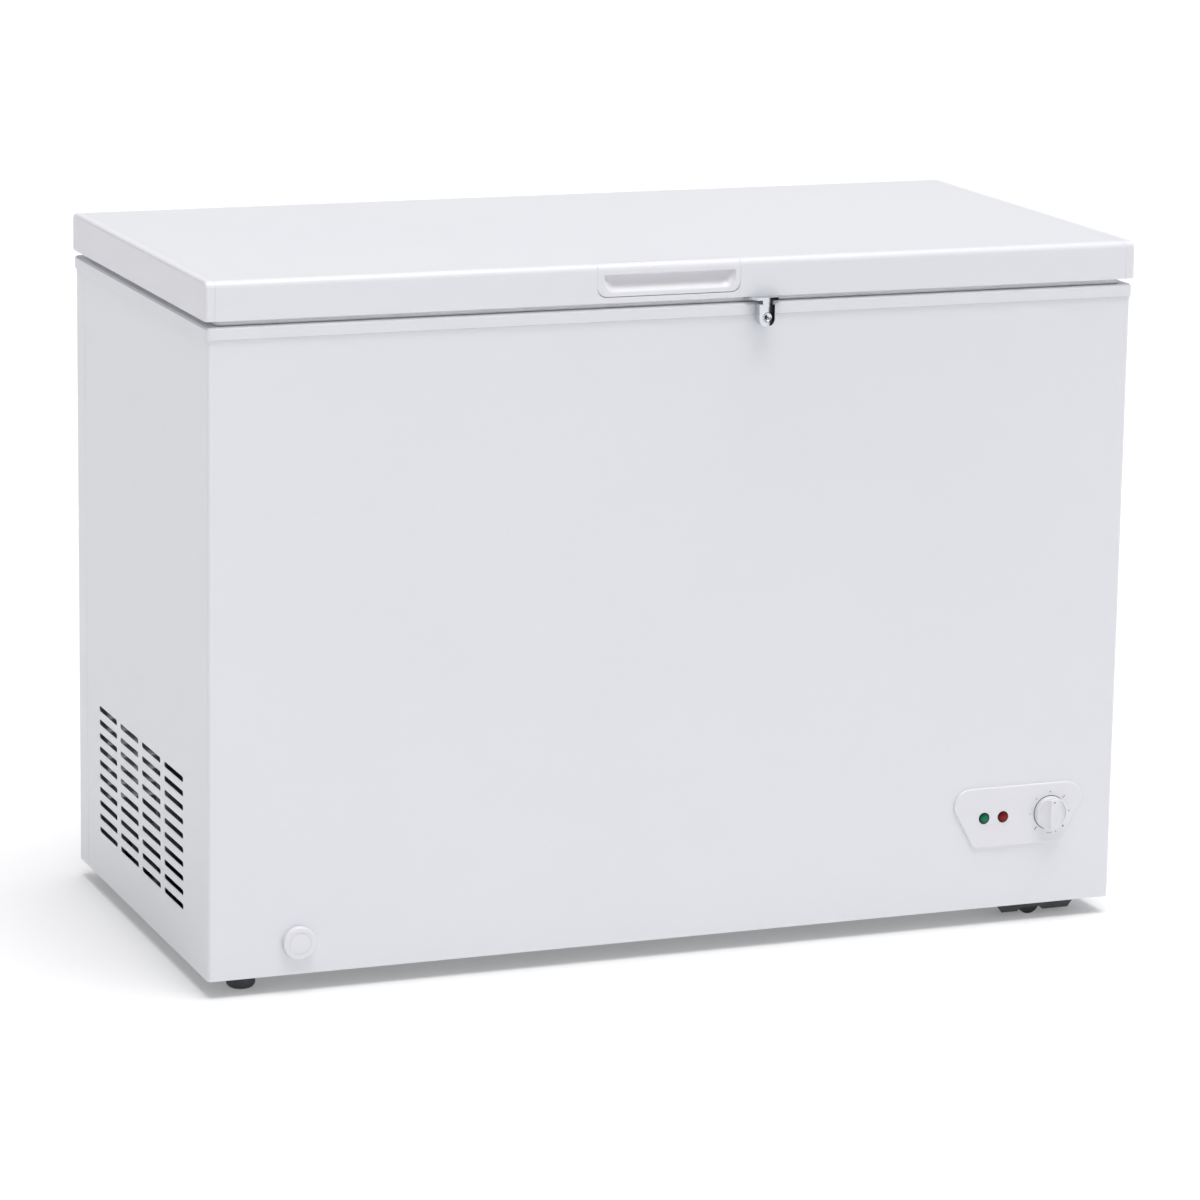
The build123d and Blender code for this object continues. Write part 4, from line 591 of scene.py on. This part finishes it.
# ---- lid handle ----
# The scoop's section at its middle: (depth behind the front face, height over the opening's foot), in mm,
# from the upper lip, along the ceiling and down the overhung back, to the crease, and down the front slope.
SCOOP = ((0.3, 20.4), (1.2, 20.0), (4.5, 20.0), (6.5, 22.0), (12.0, 23.3), (17.0, 22.8), (18.8, 20.5),
         (18.2, 17.5), (16.2, 14.2), (13.4, 11.2), (11.0, 9.2), (9.6, 8.2), (8.6, 7.6), (6.5, 5.8),
         (3.6, 3.0), (1.4, 0.9), (0.5, 0.2), (0.1, -0.3))
CREASE_HEIGHT, LIP_HEIGHT = 8.2, 20
OPENING_FOOT, OPENING_HEAD = 5.5 * MM, 25.5 * MM     # above the bezel's lower edge
OPENING_CORNER, BEZEL_CORNER = 12 * MM, 11 * MM
WALL = 2.2 * MM                                       # thickness of the moulded skin
SWEEP = 17 * MM                                       # length over which each end of the scoop sweeps up


def corner_rise(along, radius):
    """How much higher a rounded lower corner is, at a distance in from its side."""
    short = max(radius - along, 0.0)
    return radius - math.sqrt(max(radius * radius - short * short, 0.0))


def scoop_column(x, low, high, ends):
    """One section of the handle at x: over the lid's edge, into the scoop, and down to the lower edge."""
    face, top, edge = low.y, high.z, 8 * MM
    head, foot = low.z + OPENING_HEAD, low.z + OPENING_FOOT
    side = min(x - low.x, high.x - x)
    inside = min(x - ends[0], ends[1] - x)
    path = [(face + 13 * MM, top), (face + 10.5 * MM, top)]
    for step in range(7):
        turn = math.pi / 2 * step / 6
        path.append((face + edge - edge * math.sin(turn), top - edge + edge * math.cos(turn)))
    path.append((face, head + 2 * MM))
    if inside < -1e-6:
        path += [(face, head)] * len(SCOOP)
    else:
        share = 1 - min(inside / SWEEP, 1.0)
        deep = math.sqrt(1 - share * share)
        start = foot + corner_rise(inside, OPENING_CORNER)
        crease = head - (head - start - CREASE_HEIGHT * MM * (head - start) / (head - foot)) * deep
        for depth, height in SCOOP:
            if height > LIP_HEIGHT:
                z = head + (height - LIP_HEIGHT) * MM * deep
            elif height > CREASE_HEIGHT:
                z = crease + (height - CREASE_HEIGHT) / (LIP_HEIGHT - CREASE_HEIGHT) * (head - crease)
            else:
                z = start + height / CREASE_HEIGHT * (crease - start)
            path.append((face + depth * MM * deep, z))
    lower = low.z + 0.5 * MM + corner_rise(side, BEZEL_CORNER)
    last = path[-1][1]
    path += [(face, last + (lower - last) * share) for share in (0.3, 0.85, 1.0)]
    return [(x, y, z) for y, z in path]


def handle_scoop():
    """The moulded handle as one skin, let into the lid's front edge."""
    low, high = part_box("handle_bezel")
    ends = (low.x + 7.7 * MM, high.x - 6.4 * MM)
    places = [low.x + share * BEZEL_CORNER for share in (0.0, 0.06, 0.18, 0.36, 0.6, 0.9)]
    places += [ends[0] + SWEEP * (step / 16) ** 1.4 for step in range(17)]
    places += [ends[0] + SWEEP + (ends[1] - ends[0] - 2 * SWEEP) * step / 8 for step in range(1, 8)]
    places += [ends[1] - SWEEP * (step / 16) ** 1.4 for step in range(16, -1, -1)]
    places += [high.x - share * BEZEL_CORNER for share in (0.6, 0.36, 0.18, 0.06, 0.0)]
    columns = [scoop_column(x, low, high, ends) for x in sorted(places)]
    count = len(columns[0])
    faces = []
    for across in range(len(columns) - 1):
        for down in range(count - 1):
            a = across * count + down
            faces.append((a, a + 1, a + count + 1, a + count))
    piece = solid("handle_scoop", [p for column in columns for p in column], faces, scoop_plastic())
    form = bmesh.new()
    form.from_mesh(piece.data)
    bmesh.ops.remove_doubles(form, verts=form.verts, dist=0.002 * MM)
    bmesh.ops.dissolve_degenerate(form, edges=form.edges, dist=0.002 * MM)
    form.to_mesh(piece.data)
    form.free()
    wall = piece.modifiers.new("wall", "SOLIDIFY")
    wall.thickness, wall.offset = WALL, -1.0
    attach(piece, "lid")
    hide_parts("handle_bezel")


# ---- hanging basket ----
WIRE = 1.4 * MM
RIM_WIRE = 2.5 * MM
WIRE_PITCH = 22 * MM
BASKET_TAPER = 12 * MM
HOOK_HALF = 11 * MM


def basket_section(low, high, top, share):
    """Half sizes of the basket at a share of its height, 0 at the floor."""
    inset = BASKET_TAPER * (1 - share) + RIM_WIRE
    return (high.x - low.x) / 2 - inset, top - inset


def wire_basket():
    """A basket of coated wires: rim, belts, U-shaped wires both ways, and hooks over the ledge."""
    low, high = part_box("wire_basket")
    hook_z, rim_z, floor_z = high.z - WIRE * 1.6, high.z - 11 * MM, low.z + WIRE
    half_y = 196 * MM
    middle = Vector(((low.x + high.x) / 2, 0, 0))
    hoops = []
    for share, corner in ((0.0, 12), (0.34, 13), (0.68, 14)):
        half = basket_section(low, high, half_y, share)
        hoops.append(ring(middle, *half, corner * MM, floor_z + (rim_z - floor_z) * share))
    bottom, top = basket_section(low, high, half_y, 0.0), basket_section(low, high, half_y, 1.0)
    ribs = []
    for along, across in ((0, 1), (1, 0)):
        count = int(2 * (bottom[along] - 12 * MM) / WIRE_PITCH)
        for step in range(count + 1):
            share = 2 * step / count - 1
            path = []
            for side, z in ((-1, rim_z), (-1, floor_z), (1, floor_z), (1, rim_z)):
                half = top if z == rim_z else bottom
                point = Vector((0, 0, z + (WIRE * 1.7 if along and z == floor_z else 0)))
                point[along] = share * (half[along] - 12 * MM)
                point[across] = side * (half[across] - WIRE)
                path.append(middle + point)
            ribs.append(rounded(path, 14 * MM))
    rim = ring(middle, *top, 14 * MM, rim_z)
    hooks = []
    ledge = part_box("inner_liner")[1].y - 6 * MM
    for side in (-1, 1):
        for end in (low.x + 40 * MM, high.x - 40 * MM):
            inner, outer = side * top[1], side * ledge
            path = [Vector((end - HOOK_HALF, inner, rim_z - 18 * MM)),
                    Vector((end - HOOK_HALF, inner, hook_z)),
                    Vector((end - HOOK_HALF, outer, hook_z)), Vector((end + HOOK_HALF, outer, hook_z)),
                    Vector((end + HOOK_HALF, inner, hook_z)),
                    Vector((end + HOOK_HALF, inner, rim_z - 18 * MM))]
            hooks.append(rounded(path, 5 * MM))
    coated = FINISHES["coated_wire"]
    main = wires("basket_rim_wire", [rim + rim[:1]], RIM_WIRE, coated)
    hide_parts("wire_basket")
    for piece in (main, wires("basket_hoops", [h + h[:1] for h in hoops], WIRE, coated),
                  wires("basket_ribs", ribs, WIRE * 0.85, coated),
                  wires("basket_hooks", hooks, WIRE, coated)):
        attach(piece, "basket")


# ---- control panel details ----
MARK = 0.18 * MM
DIAL_MARKS = ((0, "dot", 0.9), (45, "tick", 1.0), (90, "dot", 0.8), (135, "dot", 1.35), (160, "tick", 0.6),
              (225, "tick", 1.2), (270, "dot", 0.7), (315, "tick", 0.7))


def dial_marks():
    """Generic printed marks round the temperature dial: dots and ticks, and a short arc at the bottom."""
    low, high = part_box("thermostat_knob")
    centre = ((low.x + high.x) / 2, (low.z + high.z) / 2)
    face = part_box("control_panel")[0].y
    circle = 25.5 * MM
    points, faces = [], []

    def prism(outline):
        first = len(points)
        points.extend((x, face - MARK, z) for x, z in outline)
        points.extend((x, face + MARK, z) for x, z in outline)
        count = len(outline)
        faces.append(tuple(range(first, first + count)))
        faces.append(tuple(reversed(range(first + count, first + 2 * count))))
        for step in range(count):
            a, b = first + step, first + (step + 1) % count
            faces.append((b, a, a + count, b + count))

    for degrees, kind, size in DIAL_MARKS:
        turn = math.radians(degrees)
        out, along = (math.sin(turn), math.cos(turn)), (math.cos(turn), -math.sin(turn))
        x, z = centre[0] + circle * out[0], centre[1] + circle * out[1]
        if kind == "dot":
            sweep = [2 * math.pi * step / 14 for step in range(14)]
            prism([(x + size * MM * math.cos(a), z + size * MM * math.sin(a)) for a in sweep])
        else:
            long, wide = 2.0 * size * MM, 0.55 * size * MM
            prism([(x + u * long * out[0] + v * wide * along[0],
                    z + u * long * out[1] + v * wide * along[1])
                   for u, v in ((1, 1), (1, -1), (-1, -1), (-1, 1))])
    sweep = [math.radians(172 + 16 * step / 6) for step in range(7)]
    arc = [(centre[0] + circle * math.sin(a), centre[1] + circle * math.cos(a)) for a in sweep]
    inner = [(centre[0] + (circle - 0.6 * MM) * math.sin(a), centre[1] + (circle - 0.6 * MM) * math.cos(a))
             for a in sweep]
    prism(arc + inner[::-1])
    piece = solid("dial_marks", points, faces, printed_ink(), smooth=False)
    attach(piece, "cabinet")


def knob_pointer():
    """The moulded dimple, filled with grey ink, that points to a mark."""
    low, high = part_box("thermostat_knob")
    centre = ((low.x + high.x) / 2, high.z - 5.2 * MM)
    face = low.y
    profile = [(1.25 * MM, face - 0.01 * MM), (1.3 * MM, face + 0.1 * MM), (1.3 * MM, face + 0.5 * MM)]
    piece = solid("knob_pointer", *turned(centre, profile, 20), bpy.data.materials["pad_printed_ink"])
    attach(piece, "temperature_knob")


# ---- room, light and camera ----
def studio_floor():
    """Seamless pale paper: almost white, faintly uneven, with a little light of its own from the room."""
    material, tree, at = blank("pale_studio_paper")
    fibre = add(tree, "ShaderNodeTexNoise", {"Vector": at, "Scale": 1 / (400 * MM), "Detail": 3.0})
    grain = add(tree, "ShaderNodeTexNoise", {"Vector": at, "Scale": 1 / (3 * MM)})
    relief = add(tree, "ShaderNodeBump",
                 {"Height": grain.outputs["Fac"], "Strength": 0.05, "Distance": 0.1 * MM})
    shade(material, {
        "Base Color": tone(tree, fibre.outputs["Fac"], "#DDDDDE", "#DFDFE0"), "Roughness": 0.9, "IOR": 1.4,
        "Emission Color": linear("#FFFFFF"), "Emission Strength": 0.22, "Normal": relief.outputs["Normal"]})
    half = 45.0
    floor = solid("studio_floor", [(-half, -half, 0), (half, -half, 0), (half, half, 0), (-half, half, 0)],
                  [(0, 1, 2, 3)], material, smooth=False)


def studio_light():
    """A white tent, dimmer towards the horizon and the left, a broad light overhead and a weak front box."""
    world = bpy.data.worlds.new("white_tent")
    world.use_nodes = True
    tree = world.node_tree
    tree.nodes.clear()
    ray = add(tree, "ShaderNodeTexCoord").outputs["Generated"]
    split = add(tree, "ShaderNodeSeparateXYZ", {"Vector": ray}).outputs
    rise = add(tree, "ShaderNodeMapRange",
               {"Value": split["Z"], "From Min": 0.02, "From Max": 0.7, "To Min": 0.36, "To Max": 0.58},
               interpolation_type="SMOOTHSTEP").outputs["Result"]
    slant = add(tree, "ShaderNodeMapRange",
                {"Value": split["X"], "From Min": -1.0, "To Min": 0.35, "To Max": 1.65})
    strength = add(tree, "ShaderNodeMath", {0: rise, 1: slant.outputs["Result"]},
                   operation="MULTIPLY").outputs[0]
    sky = add(tree, "ShaderNodeBackground", {"Color": linear("#FEFEFF"), "Strength": strength})
    add(tree, "ShaderNodeOutputWorld", {"Surface": sky.outputs["Background"]})
    bpy.context.scene.world = world
    sun = bpy.data.lights.new("overhead_bank", "SUN")
    sun.energy, sun.angle = 2.3, math.radians(40)
    box = bpy.data.lights.new("front_left_box", "AREA")
    box.energy, box.shape, box.size = 2.0, "SQUARE", 1.6
    for light, place, aim in ((sun, (0.1, -0.5, 3.0), (0, 0, 0)),
                              (box, (-1.6, -2.6, 1.3), (-0.2, 0.0, 0.4))):
        lamp = bpy.data.objects.new(light.name, light)
        lamp.location = place
        lamp.rotation_mode = "QUATERNION"
        lamp.rotation_quaternion = (Vector(place) - Vector(aim)).to_track_quat("Z", "Y")
        bpy.context.scene.collection.objects.link(lamp)
    bpy.context.scene.view_settings.view_transform = "Standard"


def black_flag():
    """A black flock card in front, to the right: only reflections see it, so the chrome gets a dark side."""
    material, tree, at = blank("black_flock")
    nap = add(tree, "ShaderNodeTexNoise", {"Vector": at, "Scale": 1 / (2 * MM), "Detail": 3.0})
    shade(material, {"Base Color": tone(tree, nap.outputs["Fac"], "#020202", "#0A0A0A"), "Roughness": 1.0})
    left, right, y, low, high = 0.488, 0.72, -1.2, 0.42, 0.74     # where the lock's face mirrors the camera
    card = solid("black_flag", [(left, y, low), (right, y, low), (right, y, high), (left, y, high)],
                 [(0, 1, 2, 3)], material, smooth=False)
    card.visible_camera = card.visible_diffuse = card.visible_shadow = False


AZIMUTH, ELEVATION, DISTANCE, ROLL = -21.0, 12.083, 5.937, 0.823
AIM = Vector((0.0, 0.0652, 0.4144))


def camera():
    """A long lens from a little above the lid, towards the front-left corner."""
    data = bpy.data.cameras.new("product_camera")
    data.lens, data.sensor_width = 147.6, 36.0
    data.shift_x, data.shift_y = 0.0210, -0.0432
    data.clip_start, data.clip_end = 0.1, 200.0
    a, e = math.radians(AZIMUTH), math.radians(ELEVATION)
    back = Vector((math.sin(a) * math.cos(e), -math.cos(a) * math.cos(e), math.sin(e)))
    piece = bpy.data.objects.new("product_camera", data)
    piece.location = AIM + back * DISTANCE
    piece.rotation_mode = "QUATERNION"
    level = (-back).to_track_quat("-Z", "Y")
    piece.rotation_quaternion = level @ Quaternion((0, 0, 1), math.radians(ROLL))
    bpy.context.scene.collection.objects.link(piece)
    bpy.context.scene.camera = piece


camera()
studio_light()
studio_floor()
black_flag()
dress_cad_nodes()
handle_scoop()
rim_shadow_bead()
lock_plug()
knob_gap()
lid_gasket()
wire_basket()
dial_marks()
knob_pointer()
